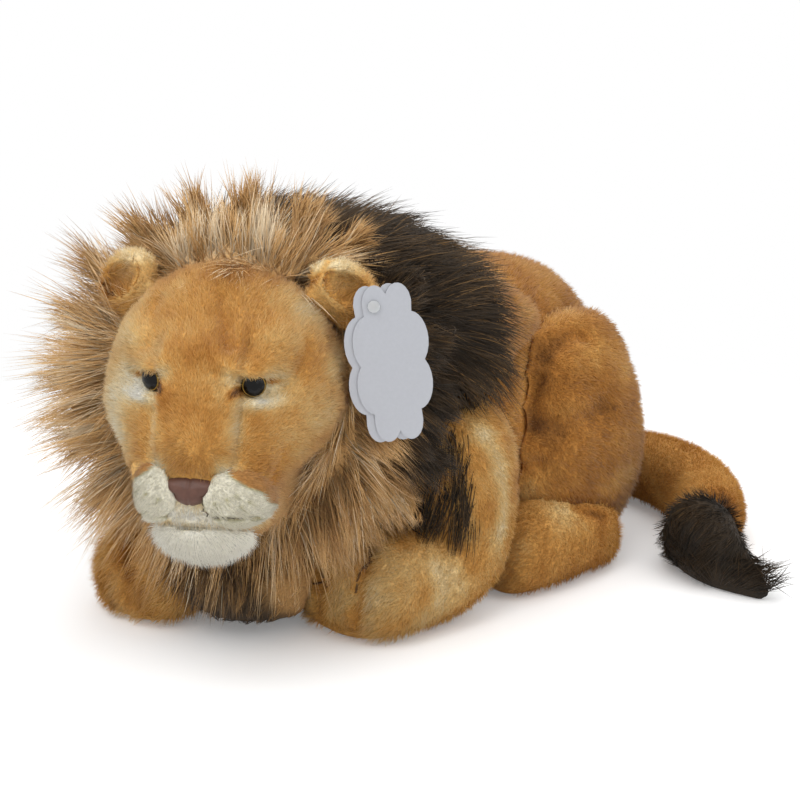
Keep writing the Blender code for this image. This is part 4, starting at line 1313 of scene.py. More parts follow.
class Nose(HeadForm):
    """The leatherette nose: a seam down its middle, two nostrils under rolled wings."""

    widening = 0.30
    # In the head's folded axes: a rolled wing, the nostril under it and the groove beside the seam
    relief = (
        Tint((0.0062, -0.108, -0.0065), (0.0030, 0.008, 0.0024), 0.0009),
        Tint((0.0066, -0.110, -0.0112), (0.0022, 0.006, 0.0014), -0.0018),
        Tint((0.0040, -0.110, -0.0090), (0.0012, 0.006, 0.0030), -0.0005),
    )

    def skin(self) -> bpy.types.Material:
        """Give the nose its leatherette."""
        return Leatherette().material()

    def sculpt(self, places: Array, normals: Array) -> Array:
        """Draw in the seam and the nostrils, and roll the wings."""
        own = in_head(places)
        wide = own[:, 0] * self.widening * smoothstep(-0.020, -0.008, own[:, 2])
        fall = -0.0020 - 0.30 * np.maximum(own[:, 2] + 0.007, 0.0)
        places = places + from_head(np.column_stack((wide, 0.10 * np.abs(own[:, 0]), fall)))
        seam = np.exp(-(own[:, 0] / 0.0007) ** 2) * smoothstep(-0.100, -0.106, own[:, 1])
        rise = raised(folded(own), self.relief) - 0.0006 * seam
        return places + normals * rise[:, None]


class Face(HeadForm):
    """The head: a broad bridge between two sunk eyes, and a mound over each."""

    eye_x = 0.0245
    eye_z = 0.0355
    hood = (0.0, -0.0095, -0.0016)
    # In the head's folded axes: the brow, the cheek, the jaw, the fold under the eye and the bridge's tip
    relief = (
        Tint((0.034, -0.076, 0.0530), (0.0140, 0.020, 0.0095), 0.0052),
        Tint((0.043, -0.070, 0.004), (0.018, 0.024, 0.022), 0.0008),
        Tint((0.047, -0.070, -0.034), (0.016, 0.030, 0.016), -0.0050),
        Tint((0.0245, -0.091, 0.0275), (0.0100, 0.012, 0.0030), 0.0030),
        Tint((0.0, -0.107, 0.000), (0.0120, 0.010, 0.0050), 0.0028),
    )

    def sculpt(self, places: Array, normals: Array) -> Array:
        """Raise the bridge and the brows, and sink the eyes, the jaw and the folds beside the bridge."""
        own = folded(in_head(places))
        side, forward, height = own.T
        bridge = smoothstep(0.0215, 0.0150, side) * smoothstep(-0.050, -0.075, forward)
        bridge *= smoothstep(-0.006, 0.012, height) * smoothstep(0.066, 0.046, height)
        socket = spot(own, (self.eye_x + 0.002, -0.089, self.eye_z - 0.002), (0.0125, 0.020, 0.0080))
        socket *= smoothstep(0.016, 0.021, side)
        taper = smoothstep(0.022, -0.020, height) * smoothstep(0.028, 0.052, side)
        taper *= smoothstep(-0.02, -0.05, forward)
        rise = raised(own, self.relief) + 0.0060 * bridge - 0.0036 * socket - 0.0120 * taper
        lid = spot(own, (self.eye_x + 0.001, -0.084, self.eye_z + 0.0082), (0.0105, 0.014, 0.0040))
        hood = from_head(np.array([self.hood])) * lid[:, None]
        return super().sculpt(places + normals * rise[:, None] + hood, normals)

    def reach(self, places: Array) -> Array:
        """Shear the pile short under the eyes and the nose."""
        own = folded(in_head(places))
        near_eye = spot(own, (self.eye_x, -0.090, self.eye_z - 0.003), (0.0100, 0.02, 0.0080))
        near_nose = spot(own, (0.0, -0.110, -0.014), (0.011, 0.012, 0.009))
        return super().reach(places) * (1.0 - 0.45 * near_eye) * (1.0 - 0.4 * near_nose)

    def comb(self, places: Array) -> Array:
        """Comb as the head is, away from each eye but down over its top, and down over the nose."""
        own = in_head(places)
        way = super().comb(places)
        for side in (-1, 1):
            away = own - np.array((side * self.eye_x, -0.085, self.eye_z))
            near = np.exp(-(np.linalg.norm(away, axis=1) / 0.013) ** 2)[:, None]
            lid = smoothstep(-0.001, 0.003, away[:, 2])[:, None]
            round_eye = unit(away) * (1 - lid) + np.array((0.0, -0.35, -0.9)) * lid
            way = way * (1 - near) + from_head(round_eye) * near
        fringe = spot(own, (0.0, -0.104, 0.003), (0.014, 0.012, 0.005))[:, None]
        return way * (1 - fringe) + from_head(np.array([[0.0, -0.6, -0.8]])) * fringe


class LipPad(HeadForm):
    """A lip pad: white under a line that falls from beside the nose to the cheek, and tan over it."""

    edge = ((0.006, -0.0100), (0.010, -0.0070), (0.0146, 0.0010), (0.0190, -0.0025), (0.0249, -0.0058),
            (0.0341, -0.0104), (0.0385, -0.0220))
    far_end = (0.0265, 0.0300)

    def sculpt(self, places: Array, normals: Array) -> Array:
        """Draw the right pad's outer end in, where the cheek is drawn in."""
        beyond = np.maximum(-in_head(places)[:, 0] - 0.023, 0.0)
        way = from_head(np.array([[0.5, 0.15, 0.0]]))
        return super().sculpt(places + way * beyond[:, None], normals)

    def comb(self, places: Array) -> Array:
        """Comb outwards and down from the nose."""
        own = in_head(places)
        aside = 0.9 * np.tanh(own[:, 0] / 0.008)
        return from_head(np.column_stack((aside, np.full(len(own), 0.2), np.full(len(own), -0.75))))

    def reach(self, places: Array) -> Array:
        """Shear the pile short beside the nose."""
        own = in_head(places)
        near_nose = spot(own, (0.0, -0.110, -0.010), (0.0165, 0.020, 0.0100))
        return super().reach(places) * (1.0 - 0.6 * near_nose)

    def shade(self, places: Array) -> Array:
        """Change from white to tan over the line, and at the far end."""
        own = in_head(places)
        across, height = np.array(self.edge).T
        over = own[:, 2] - np.interp(np.abs(own[:, 0]), across, height)
        tan = np.maximum(smoothstep(-0.0008, 0.0012, over), smoothstep(*self.far_end, -own[:, 0]))
        return super().shade(places) * (1 - tan) + 0.13 * tan


class Ear(HeadForm):
    """One piece of an ear: paler towards the rim, and low in the bowl longer-haired and darkened by painted shade."""

    def rise(self, places: Array) -> Array:
        """Give how high each place stands between the ear's root and its rim."""
        height = places[:, 2]
        return (height - height.min()) / max(float(np.ptp(height)), 1e-6)

    def shade(self, places: Array) -> Array:
        """Pale at the rim, and darkened by painted shade at the root."""
        rise = self.rise(places)
        # The rim's paler pile is its own colour; the darkening at the root is painted shade.
        return super().shade(places) + 0.24 * smoothstep(0.70, 0.98, rise) - 0.10 * smoothstep(0.50, 0.15, rise)

    def reach(self, places: Array) -> Array:
        """Let the hair grow longer near the root."""
        return super().reach(places) * (0.75 + 0.6 * smoothstep(0.65, 0.15, self.rise(places)))


def mirrored_tints(*tints: Tint) -> tuple[Tint, ...]:
    """Repeat tints on the other side of the middle."""
    other = tuple(Tint((-tint.centre[0], *tint.centre[1:]), tint.radii, tint.amount) for tint in tints)
    return tints + other


FACE_TINTS = mirrored_tints(
    Tint((0.0315, -0.084, 0.0360), (0.0105, 0.014, 0.0072), 0.46),
    Tint((0.0150, -0.087, 0.0400), (0.0042, 0.010, 0.0062), 0.34),
    Tint((0.0300, -0.090, 0.0270), (0.0095, 0.014, 0.0036), 0.34),
    Tint((0.0318, -0.085, 0.0368), (0.0034, 0.014, 0.0015), -0.75),
    Tint((0.0176, -0.092, 0.0325), (0.0020, 0.012, 0.0022), -0.70),
    Tint((0.0195, -0.097, 0.0160), (0.0030, 0.014, 0.0170), 0.24),
    Tint((0.0340, -0.078, 0.0530), (0.0160, 0.020, 0.0120), 0.14),
    Tint((0.0540, -0.058, 0.0300), (0.0090, 0.014, 0.0300), 0.18),
    Tint((0.0420, -0.083, 0.0180), (0.0120, 0.014, 0.0140), 0.11),
    Tint((0.0480, -0.045, 0.0640), (0.0120, 0.020, 0.0130), 0.16),
    Tint((0.0300, -0.090, -0.0040), (0.0120, 0.014, 0.0080), -0.03),
    Tint((0.0146, -0.1057, -0.0010), (0.0040, 0.008, 0.0055), 0.50),
    Tint((0.0215, -0.1060, -0.0065), (0.0050, 0.010, 0.0050), 0.50),
) + (
    Tint((-0.002, -0.102, 0.011), (0.012, 0.014, 0.013), -0.09),
    Tint((0.0, -0.086, 0.047), (0.010, 0.014, 0.012), -0.05),
    Tint((-0.044, -0.086, 0.012), (0.011, 0.018, 0.022), 0.32),
    Tint((0.002, -0.106, -0.024), (0.045, 0.016, 0.011), 0.50),
)
FACE_CREASES = (
    Crease(((0.0045, -0.069, 0.071), (0.0058, -0.0733, 0.0662), (0.0088, -0.0768, 0.0608), (0.0110, -0.0814, 0.0524),
            (0.0130, -0.0851, 0.0453)), 0.0030, 0.0045, 0.07),
    Crease(((-0.0300, -0.066, 0.066), (-0.0305, -0.0702, 0.0605), (-0.0265, -0.0779, 0.0529),
            (-0.0270, -0.0813, 0.0452)), 0.0028, 0.0040, 0.08),
    Crease(((0.0150, -0.088, 0.038), (0.0172, -0.0925, 0.0280), (0.0190, -0.0980, 0.0160), (0.0180, -0.1040, 0.0032)),
           0.0019, 0.0030, 0.01, 0.3),
    Crease(((-0.0150, -0.088, 0.038), (-0.0172, -0.0925, 0.0280), (-0.0170, -0.0994, 0.0141),
            (-0.0155, -0.1052, 0.0012)), 0.0019, 0.0030, 0.01, 0.3),
    Crease(((0.0300, -0.0850, 0.0270), (0.0380, -0.0800, 0.0320), (0.0440, -0.0740, 0.0420), (0.0470, -0.0680, 0.0520)),
           0.0026, 0.0040, 0.04),
    Crease(((0.0425, -0.0883, 0.0050), (0.0388, -0.0932, -0.0085)), 0.0022, 0.0040, 0.07),
)
MOUTH = (
    (-0.0320, -0.1060, -0.0235), (-0.0215, -0.1125, -0.0240), (-0.0107, -0.1087, -0.0260), (-0.0035, -0.1082, -0.0262),
    (0.0022, -0.1077, -0.0258), (0.0066, -0.1088, -0.0240), (0.0123, -0.1112, -0.0233), (0.0207, -0.1129, -0.0223),
    (0.0287, -0.1090, -0.0228), (0.0325, -0.1024, -0.0243))
PHILTRUM = ((0.0010, -0.1130, -0.0160), (0.0026, -0.1096, -0.0197), (0.0034, -0.1092, -0.0227),
            (0.0040, -0.1085, -0.0250))
MUZZLE_CREASES = (
    Crease(MOUTH, 0.0028, 0.0013, 0.50, 0.70),
    Crease(PHILTRUM, 0.0016, 0.0010, 0.46, 0.65),
)
MOUTH_FOLD = Crease(MOUTH, 0.0024, 0.0020, 0.0, 0.6)
MUZZLE_COAT = Coat(density=1.5e6, length=0.0056, width=0.00021, lift=20, stray=0.10, tone_spread=0.06)
MUZZLE_SPOTS = mirrored_tints(*(Tint(centre, (0.0011, 0.008, 0.0010), -0.50) for centre in (
    (0.0137, -0.1148, -0.0151), (0.0197, -0.1151, -0.0126), (0.0241, -0.1136, -0.0108),
    (0.0298, -0.1118, -0.0139), (0.0260, -0.1137, -0.0160))))
EAR_CREASES = {
    "left": (Crease(((0.0500, -0.034, 0.087), (0.0479, -0.0382, 0.0850), (0.0463, -0.0417, 0.0808),
                     (0.0415, -0.0407, 0.0744)), 0.0016, 0.0019, 0.22, 0.7),),
    "right": (Crease(((-0.0740, -0.032, 0.0760), (-0.0700, -0.0345, 0.0710), (-0.0682, -0.0353, 0.0677),
                      (-0.0636, -0.0366, 0.0631)), 0.0016, 0.0019, 0.22, 0.7),),
}


# The mane

MANE_COAT = Coat(density=3.3e5, length=0.054, width=0.00026, lift=24, spread=0.40, stray=0.09, lock_density=2.3e4,
                 gather=0.9, lock_stray=0.24, lock_spread=0.55, sag=0.14, tone_spread=0.12, lock_tone=0.22,
                 fleck=0.20, segments=3)
CAPE_COAT = Coat(density=1.0e5, length=0.046, width=0.00028, lift=24, spread=0.4, stray=0.11, lock_density=1.4e4,
                 gather=0.6, lock_stray=0.18, lock_spread=0.3, sag=0.18, tone_spread=0.10, lock_tone=0.10,
                 fleck=0.36, segments=3)
THROAT_COAT = Coat(density=2.4e5, length=0.040, width=0.00028, lift=20, spread=0.4, stray=0.08, lock_density=1.8e4,
                   gather=0.85, lock_stray=0.16, lock_spread=0.35, sag=0.1, tone_spread=0.14, lock_tone=0.36,
                   fleck=0.25, segments=3)
SHOULDER_COAT = Coat(density=2.6e5, length=0.034, width=0.00028, lift=14, spread=0.35, stray=0.09, lock_density=1.8e4,
                     gather=0.55, lock_stray=0.14, lock_spread=0.3, sag=0.12, tone_spread=0.10, lock_tone=0.10,
                     fleck=0.34, segments=3)


class Ruff(StuffedForm):
    """The mane that stands out round the face: tan, and dark beyond the left ear."""

    tip_radius = 0.117
    root_z = 0.012
    spikes = (-16.2, -3.3, 4.9, 14.7, 23.7, 33.0)

    def outwards(self, places: Array) -> Array:
        """Give the direction away from the middle of the ruff, in the head's own axes."""
        own = in_head(places)
        return unit(np.column_stack((own[:, 0], np.zeros(len(own)), own[:, 2] - self.root_z)))

    def radius(self, places: Array) -> Array:
        """Give how far each place lies from the middle of the ruff."""
        own = in_head(places)
        return np.hypot(own[:, 0], own[:, 2] - self.root_z)

    def turn(self, places: Array) -> Array:
        """Give how far each place lies round the face, in degrees, from the crown to the lion's left."""
        own = in_head(places)
        return np.degrees(np.arctan2(own[:, 0], own[:, 2] - self.root_z))

    def beside_card(self, places: Array) -> Array:
        """Give how far each place belongs to the left side, where the card hangs."""
        turn = self.turn(places)
        return smoothstep(30, 44, turn) * smoothstep(122, 106, turn)

    def dark(self, places: Array) -> Array:
        """Give how far each place belongs to the dark outer mane on the left."""
        return self.beside_card(places) * smoothstep(0.072, 0.084, self.radius(places))

    def comb(self, places: Array) -> Array:
        """Comb outwards from the face, a little back, and more steeply down on the left cheek."""
        turn = self.turn(places)
        fall = 0.12 + 0.55 * smoothstep(62, 96, turn) * smoothstep(172, 142, turn)
        return from_head(self.outwards(places) + np.array((0.0, 0.22, 0.0))) - np.outer(fall, (0.0, 0.0, 1.0))

    def reach(self, places: Array) -> Array:
        """Let fibres end at the mane's outer edge. It lies farther out on the right, and less far beside the card."""
        own = in_head(places)
        turn = self.turn(places)
        tan_side = self.beside_card(places) * (1 - self.dark(places))
        tips = self.tip_radius + 0.022 * smoothstep(0.020, 0.075, -own[:, 0]) - 0.014 * tan_side
        for spike in self.spikes:
            tips += 0.011 * np.exp(-((turn - spike) / 2.6) ** 2)
        return np.clip((tips - self.radius(places)) / self.coat.length, 0.30, 1.20)

    def shade(self, places: Array) -> Array:
        """Keep the ruff tan, paler on top and on the right, and dark behind and in the dark outer mane."""
        own = in_head(places)
        behind = smoothstep(-0.020, -0.004, own[:, 1])
        pale = np.maximum(smoothstep(0.060, 0.085, own[:, 2]), smoothstep(0.045, 0.075, -own[:, 0]))
        dark = np.maximum(0.45 * behind, self.dark(places))
        return (super().shade(places) + 0.06 * pale) * (1 - dark) + 0.15 * dark

    def sculpt(self, places: Array, normals: Array) -> Array:
        """Draw the rim in on the right and on top, where the locks part and show the background."""
        own = in_head(places)
        thin = np.maximum(smoothstep(0.030, 0.060, -own[:, 0]), smoothstep(0.070, 0.095, own[:, 2]))
        inwards = 0.010 * thin * smoothstep(0.074, 0.096, self.radius(places))
        return places - from_head(self.outwards(places)) * inwards[:, None]


class Cape(StuffedForm):
    """The dark mane over the neck and shoulders, combed back."""

    edge = ((0.100, 0.024), (0.120, 0.012), (0.148, -0.030), (0.168, -0.024), (0.185, -0.012))

    def comb(self, places: Array) -> Array:
        """Comb back over the shoulders and down the sides."""
        side = np.sign(places[:, 0]) * smoothstep(0.0, 0.09, np.abs(places[:, 0]))
        low = smoothstep(0.20, 0.10, places[:, 2])
        fore = smoothstep(-0.035, -0.075, places[:, 1]) * smoothstep(0.140, 0.115, places[:, 2])
        return np.column_stack((0.25 * side, 0.9 - 0.35 * low - 0.45 * fore, 0.10 - 0.95 * low - 0.30 * fore))

    def behind(self, places: Array) -> Array:
        """Give how far behind the dark mane's back edge each place lies, in metres."""
        return places[:, 1] - np.interp(places[:, 2], *np.array(self.edge).T)

    def reach(self, places: Array) -> Array:
        """Shorten the fibres towards the back edge."""
        behind = self.behind(places)
        return 1.0 - 0.50 * smoothstep(-0.030, 0.0, behind)

    def sculpt(self, places: Array, normals: Array) -> Array:
        """Sink the hide behind the back edge towards the body."""
        return places - normals * (0.0030 * smoothstep(0.0, 0.014, self.behind(places)))[:, None]

    def thin(self, places: Array) -> Array:
        """Leave the hide behind the back edge to the body pile."""
        return smoothstep(0.008, 0.0, self.behind(places))

    def shade(self, places: Array) -> Array:
        """Keep the mane dark, and tan behind its back edge."""
        rear = smoothstep(0.0, 0.008, self.behind(places))
        return super().shade(places) * (1 - rear) + 0.57 * rear


class Bib(StuffedForm):
    """The mane under the throat, hanging in strands. They end higher over the left paw."""

    hem = 0.013
    paw_x = (0.024, 0.036)

    def comb(self, places: Array) -> Array:
        """Comb down and forwards."""
        return np.tile(np.array((0.0, -0.35, -1.0)), (len(places), 1))

    def reach(self, places: Array) -> Array:
        """Let the strands end above the floor."""
        hem = self.hem + 0.030 * smoothstep(*self.paw_x, places[:, 0])
        return np.clip((places[:, 2] - hem) / self.coat.length, 0.15, 1.0)

    def shade(self, places: Array) -> Array:
        """Darken the strands near the floor with painted shade between the paws, but not beside the left paw."""
        # Painted shade near the floor, between the paws
        low = smoothstep(0.050, 0.020, places[:, 2])
        beside = smoothstep(*self.paw_x, places[:, 0]) * smoothstep(0.050, 0.036, places[:, 2])
        return (super().shade(places) - 0.20 * low) * (1 - beside) + 0.60 * beside


# Sewing thread


def stitch_tree() -> bpy.types.NodeTree:
    """Build the tree that sews stitches along a path: one bowed stitch of thread for each length of it.

    Returns:
        The Geometry Nodes tree.
    """
    tree, given = start_group("sew_stitches", dict.fromkeys(("Stitch", "Thickness", "Rise"), "Float"))
    made = partial(add_socket, tree)
    half = made(MATH, {0: given["Stitch"], 1: 0.44}, operation="MULTIPLY")
    back = made(MATH, {0: half, 1: -1.0}, operation="MULTIPLY")
    low = made(MATH, {0: given["Rise"], 1: -0.6}, operation="MULTIPLY")
    high = made(MATH, {0: given["Rise"], 1: 2.4}, operation="MULTIPLY")
    bow = made("GeometryNodeCurveQuadraticBezier", {"Resolution": 8, "Start": made(JOINED, {"X": back, "Z": low}),
                                                    "Middle": made(JOINED, {"Z": high}),
                                                    "End": made(JOINED, {"X": half, "Z": low})})
    ring = made("GeometryNodeCurvePrimitiveCircle", {"Resolution": 7, "Radius": given["Thickness"]})
    thread = made("GeometryNodeCurveToMesh", {"Curve": bow, "Profile Curve": ring, "Fill Caps": True})
    path = made("GeometryNodeMeshToCurve", {"Mesh": given["Geometry"]})
    path = made("GeometryNodeResampleCurve", {"Curve": path, "Length": given["Stitch"]}, mode="LENGTH")
    out = made(READ, {"Name": f"{FIELD}out"}, data_type="FLOAT_VECTOR")
    turn = made("FunctionNodeAxesToRotation", {0: out, 1: made("GeometryNodeInputTangent")}, primary_axis="Z",
                secondary_axis="X")
    sewn = made("GeometryNodeInstanceOnPoints", {"Points": path, "Instance": thread, "Rotation": turn})
    sewn = made("GeometryNodeRealizeInstances", {"Geometry": sewn})
    end_group(tree, sewn, given["Material"])
    return tree


@dataclass(frozen=True)
class Seam:
    """Long stitches of thread along a line of the hides that they are sewn through."""

    name: str
    body: str
    hides: tuple[str, ...]
    path: tuple[Point, ...]
    thread: SewingThread
    slot: str
    stitch: float = 0.0042
    thickness: float = 0.0006
    rise: float = 0.0011
    on_head: bool = False

    def build(self) -> bpy.types.Object:
        """Lay the seam on its hides and sew it.

        Returns:
            The seam's object.
        """
        hides = [bpy.data.objects[f"{node}_hide"].data for node in self.hides]
        places = np.vstack([places_of(hide) for hide in hides])
        normals = np.vstack([normals_of(hide) for hide in hides])
        path = np.array(self.path)
        if self.on_head:
            path = from_head(path) + np.array(NECK)
        line = laid(path, places)
        line = line[np.concatenate(((True,), np.linalg.norm(np.diff(line, axis=0), axis=1) > MERGE_DISTANCE))]
        nearest = [int(np.argmin(np.sum((places - point) ** 2, axis=1))) for point in line]
        mesh = bpy.data.meshes.new(self.name)
        mesh.from_pydata(line.tolist(), [(at, at + 1) for at in range(len(line) - 1)], [])
        write_field(mesh, "out", normals[nearest])
        seam = add_object(self.name, mesh)
        tree = bpy.data.node_groups.get("sew_stitches") or stitch_tree()
        material = bpy.data.materials.get(self.thread.name) or self.thread.material()
        run_tree(seam, tree, {"Stitch": self.stitch, "Thickness": self.thickness, "Rise": self.rise,
                              "Material": material})
        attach(seam, self.body)
        LOG.info("%s: %d faces", self.name, len(seam.data.polygons))
        return seam


DARK_THREAD = SewingThread("dark_thread", "5A5240")
TAN_THREAD = SewingThread("tan_thread", "6A4A26")


def seams() -> list[Seam]:
    """List the lion's seams in sight: mouth, philtrum and toes."""
    made = [Seam(name, "head", ("left_lip_pad", "right_lip_pad"), path, DARK_THREAD, "cream_pile",
                 thickness=0.0003, rise=0.0005, on_head=True)
            for name, path in (("mouth_seam", MOUTH[3:-1]), ("philtrum_seam", PHILTRUM))]
    for node, creases in TOE_CREASES.items():
        for at, crease in enumerate(creases):
            made.append(Seam(f"{node}_toe_seam_{at + 1}", node, (node,), crease.path[:3], TAN_THREAD, "tan_pile",
                             stitch=0.006))
    return made


# The studio


@dataclass(frozen=True)
class Studio:
    """A pale floor, soft lamps and the camera of the photograph."""

    azimuth: float = 40.0
    elevation: float = 16.0
    distance: float = 1.1
    aim: Point = (0.0, 0.0, 0.095)
    lens: float = 87.75
    sensor: float = 36.0
    floor_size: float = 6.0
    floor_lift: float = 0.16
    fill: float = 0.72
    lamp_distance: float = 1.6
    # How far from the middle the floor starts to turn white, and where it is white
    fade: tuple[float, float] = (0.26, 0.50)

    def aimed(self, data: bpy.types.ID, azimuth: float, elevation: float, distance: float) -> bpy.types.Object:
        """Add a camera or a lamp that looks at the lion.

        Args:
            data: The camera's or the lamp's data, which gives the object its name.
            azimuth: Its direction round the lion, in degrees, from the front.
            elevation: Its height in degrees.
            distance: How far off it is, in metres.

        Returns:
            The object.
        """
        item = add_object(data.name, data)
        turn, rise = math.radians(azimuth), math.radians(elevation)
        back = Vector((math.sin(turn) * math.cos(rise), -math.cos(turn) * math.cos(rise), math.sin(rise)))
        item.location = Vector(self.aim) + back * distance
        item.rotation_euler = back.to_track_quat("Z", "Y").to_euler()
        return item

    def camera(self) -> None:
        """Add the camera, at the photograph's angle."""
        data = bpy.data.cameras.new("camera")
        data.lens = self.lens
        data.sensor_width = self.sensor
        data.sensor_fit = "HORIZONTAL"
        bpy.context.scene.camera = self.aimed(data, self.azimuth, self.elevation, self.distance)

    def lamp(self, name: str, azimuth: float, elevation: float, size: float, power: float) -> None:
        """Add a soft square lamp that faces the lion.

        Args:
            name: The lamp's name.
            azimuth: Its direction round the lion, in degrees, from the front.
            elevation: Its height in degrees.
            size: Its side in metres.
            power: Its power in watts.
        """
        data = bpy.data.lights.new(name, "AREA")
        data.shape = "SQUARE"
        data.size = size
        data.energy = power
        self.aimed(data, azimuth, elevation, self.lamp_distance)

    def seen(self, tree: bpy.types.NodeTree) -> bpy.types.NodeSocket:
        """Give 1 for rays that show the background: straight from the camera, in gloss or through glass."""
        paths = add_node(tree, "ShaderNodeLightPath").outputs
        seen = add_node(tree, MATH, {0: paths["Is Camera Ray"], 1: paths["Is Glossy Ray"]},
                        operation="MAXIMUM").outputs[0]
        return add_node(tree, MATH, {0: seen, 1: paths["Is Transmission Ray"]}, operation="MAXIMUM").outputs[0]

    def world(self) -> None:
        """White to the camera and in gloss, and a dimmer fill for the light on the lion."""
        world = bpy.data.worlds.new("studio")
        bpy.context.scene.world = world
        world.use_nodes = True
        tree = world.node_tree
        level = add_node(tree, RESCALE, {"Value": self.seen(tree), "To Min": self.fill}).outputs[0]
        fill_inputs(tree.nodes["Background"], {"Color": (1.0, 1.0, 1.0, 1.0), "Strength": level})

    def floor(self) -> None:
        """Add a wide, matte paper floor. It keeps the lion's shadow, and turns plain white away from it."""
        mesh = bpy.data.meshes.new("floor")
        half = self.floor_size / 2
        mesh.from_pydata([(-half, -half, 0.0), (half, -half, 0.0), (half, half, 0.0), (-half, half, 0.0)], [],
                         [(0, 1, 2, 3)])
        floor = add_object("floor", mesh)
        material, tree, shader = plain_material("matte_paper", 0.9)
        seen = self.seen(tree)
        lift = add_node(tree, MATH, {0: seen, 1: self.floor_lift}, operation="MULTIPLY").outputs[0]
        fill_inputs(shader, {"Base Color": linear("F4F4F4"), "Specular IOR Level": 0.0,
                             "Emission Color": (1.0, 1.0, 1.0, 1.0), "Emission Strength": lift})
        place = add_node(tree, PLACE).outputs["Object"]
        away = add_node(tree, VECTOR, {0: place}, operation="LENGTH").outputs["Value"]
        fade = add_node(tree, RESCALE, {"Value": away, "From Min": self.fade[0], "From Max": self.fade[1]},
                        interpolation_type="SMOOTHSTEP").outputs[0]
        share = add_node(tree, MATH, {0: seen, 1: fade}, operation="MULTIPLY").outputs[0]
        white = add_node(tree, "ShaderNodeEmission", {"Strength": 1.0}).outputs[0]
        mixed = add_node(tree, "ShaderNodeMixShader", {0: share, 1: shader.outputs[0], 2: white}).outputs[0]
        fill_inputs(tree.nodes["Material Output"], {"Surface": mixed})
        mesh.materials.append(material)

    def build(self) -> None:
        """Build the studio."""
        bpy.context.scene.view_settings.view_transform = "Standard"
        self.camera()
        self.lamp("key", 5.0, 55.0, 1.2, 12.0)
        self.lamp("fill", 95.0, 35.0, 1.4, 6.5)
        self.lamp("top", 200.0, 75.0, 1.6, 8.0)
        self.world()
        self.floor()


# The lion's pieces, in the order that they are built


def shoulder_mane(side: str) -> Overlay:
    """Give the dark mane that hangs over a foreleg's upper arm."""
    return Overlay(f"{side}_shoulder_mane", SHOULDER_COAT, DARK_MANE, 0.13, (0.054, 0.066), (-0.052, -0.062),
                   (0.0, -0.15, -1.0), under=0.8)


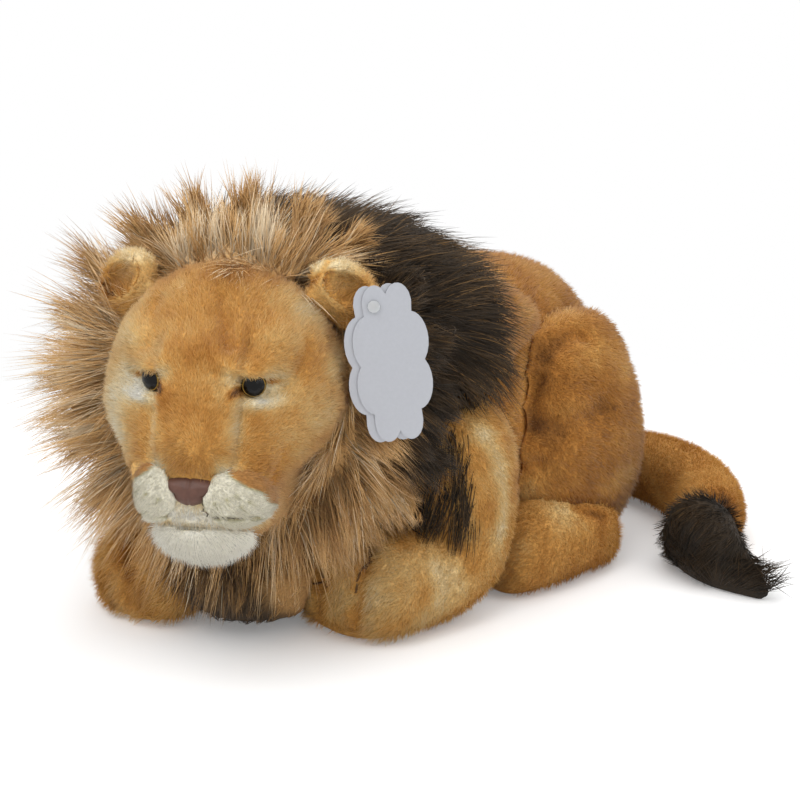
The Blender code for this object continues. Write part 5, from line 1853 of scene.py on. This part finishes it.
def stuffed_forms() -> tuple[StuffedForm, ...]:
    """List the lion's stuffed forms, body first."""
    forms = [
        StuffedForm("torso", "torso", 1, voxel=0.006, coats=2, tone=0.36,
                    coat=replace(SHORT_COAT, density=4.6e5, width=0.00030), mounds=TORSO_MOUNDS),
        StuffedForm("left_thigh", "torso", 2, Flow.DOWN_AND_BACK, voxel=0.0042, tone=0.35, tints=THIGH_TINTS,
                    mounds=THIGH_MOUNDS, creases=THIGH_CREASES),
        StuffedForm("right_thigh", "torso", 3, Flow.DOWN_AND_BACK, voxel=0.0042, tone=0.35,
                    coat=replace(SHORT_COAT, density=6.5e5, width=0.00028)),
        StuffedForm("left_hind_foot", "torso", 4, Flow.FORWARDS, voxel=0.0035, tone=0.37, tints=FOOT_TINTS,
                    creases=FOOT_CREASES),
        StuffedForm("right_hind_foot", "torso", 5, Flow.FORWARDS, voxel=0.0035, tone=0.37),
    ]
    for side, seed in (("left", 6), ("right", 7)):
        node = f"{side}_foreleg"
        forms.append(Leg(node, node, seed, voxel=0.0035, tone=0.46, tints=leg_tints(side), creases=TOE_CREASES[node],
                         overlays=(shoulder_mane(side),)))
    muzzle = {"finish": CREAM_PILE, "voxel": 0.0018, "mottling": 0.015, "cap": 0.0012}
    forms += [
        Tail("tail", "tail", 8, voxel=0.0035, tone=0.40, coat=replace(SHORT_COAT, density=1.1e6),
             tints=(Tint((0.141, 0.125, 0.032), (0.010, 0.010, 0.012), -0.20),)),
        Face("head", "head", 9, voxel=0.0032, coats=2, tone=0.445, mottling=0.07, tints=FACE_TINTS,
             creases=FACE_CREASES + (MOUTH_FOLD,),
             coat=replace(SHORT_COAT, density=1.2e6, length=0.0060, width=0.00022, lift=36, lock_density=1.6e5)),
        *(LipPad(f"{side}_lip_pad", "head", seed, tone=0.80, coat=MUZZLE_COAT, tints=MUZZLE_SPOTS,
                 creases=MUZZLE_CREASES, **muzzle) for side, seed in (("left", 10), ("right", 11))),
        HeadForm("chin_pad", "head", 12, tone=1.11, creases=MUZZLE_CREASES[:1], **muzzle,
                 coat=Coat(density=1.2e6, length=0.0095, width=0.00022, lift=24, stray=0.12, tone_spread=0.05)),
        Nose("nose", "head", 21, voxel=0.0009, easing=3, swell=0.0, cap=0.0003, coats=0),
    ]
    for side, seed in (("left", 13), ("right", 15)):
        forms += [
            Ear(f"{side}_ear_back", f"{side}_ear", seed, voxel=0.0015, easing=3, cap=0.0005, tone=0.53,
                creases=EAR_CREASES[side], coat=replace(SHORT_COAT, density=1.2e6, length=0.0060, width=0.00022)),
            Ear(f"{side}_ear_lining", f"{side}_ear", seed + 1, voxel=0.0012, easing=3, cap=0.0004, tone=0.50,
                creases=EAR_CREASES[side], finish=LINING_PILE,
                coat=Coat(density=9.0e5, length=0.0085, width=0.00022, lift=30, lock_density=1.0e5, gather=0.4,
                          lock_stray=0.2)),
        ]
    forms += [
        Ruff("mane_ruff", "head", 17, voxel=0.0038, easing=6, coat=MANE_COAT, finish=TAN_MANE, tone=0.76, coats=2,
             pressed=False),
        Cape("mane_cape", "torso", 18, voxel=0.0055, coat=CAPE_COAT, finish=DARK_MANE, tone=0.15, coats=2,
             pressed=False, overlays=(
                 Overlay("cape_rear_pile", replace(SHORT_COAT, density=8.0e5, width=0.00028), TAN_PILE, 0.36,
                         (0.095, 0.105), (-0.030, -0.018), (0.0, 0.9, -0.45)),)),
        Bib("mane_bib", "torso", 19, voxel=0.0038, coat=THROAT_COAT, finish=TAN_MANE, tone=0.44, pressed=False),
        Tuft("tail_tuft", "tail", 20, voxel=0.0035, finish=DARK_MANE, tone=0.09, pressed=False,
             coat=Coat(density=3.0e5, length=0.020, width=0.00024, lift=11, stray=0.08, lock_density=3e4, gather=0.5,
                       lock_stray=0.12, tone_spread=0.08, fleck=0.22, segments=2)),
    ]
    return tuple(forms)


def dress_rigid_parts() -> None:
    """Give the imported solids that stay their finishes: eyes, washers, card and barb."""
    washer = Nylon("white_nylon", "DCDCD8", "CFCFCA").material()
    card = CoatedCard().material()
    finishes = {"tag_front_leaf": card, "tag_back_leaf": card,
                "tag_barb": Nylon("clear_nylon", "EDEFF0", "DDE0E2", 0.55).material()}
    for side in ("left", "right"):
        finishes[f"{side}_eye"] = AcrylicEye().material(side, f"{side}_eye")
        finishes[f"{side}_eye_washer"] = washer
    for node, finish in finishes.items():
        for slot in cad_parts[node].material_slots:
            slot.material = finish
        LOG.info("%s: %s", node, finish.name)


def main() -> None:
    """Build the studio and the lion's looks."""
    logging.basicConfig(level=logging.INFO, format="%(message)s", stream=sys.stdout)
    Studio().build()
    for form in stuffed_forms():
        form.build()
    for seam in seams():
        seam.build()
    dress_rigid_parts()


if __name__ == "__main__":
    main()
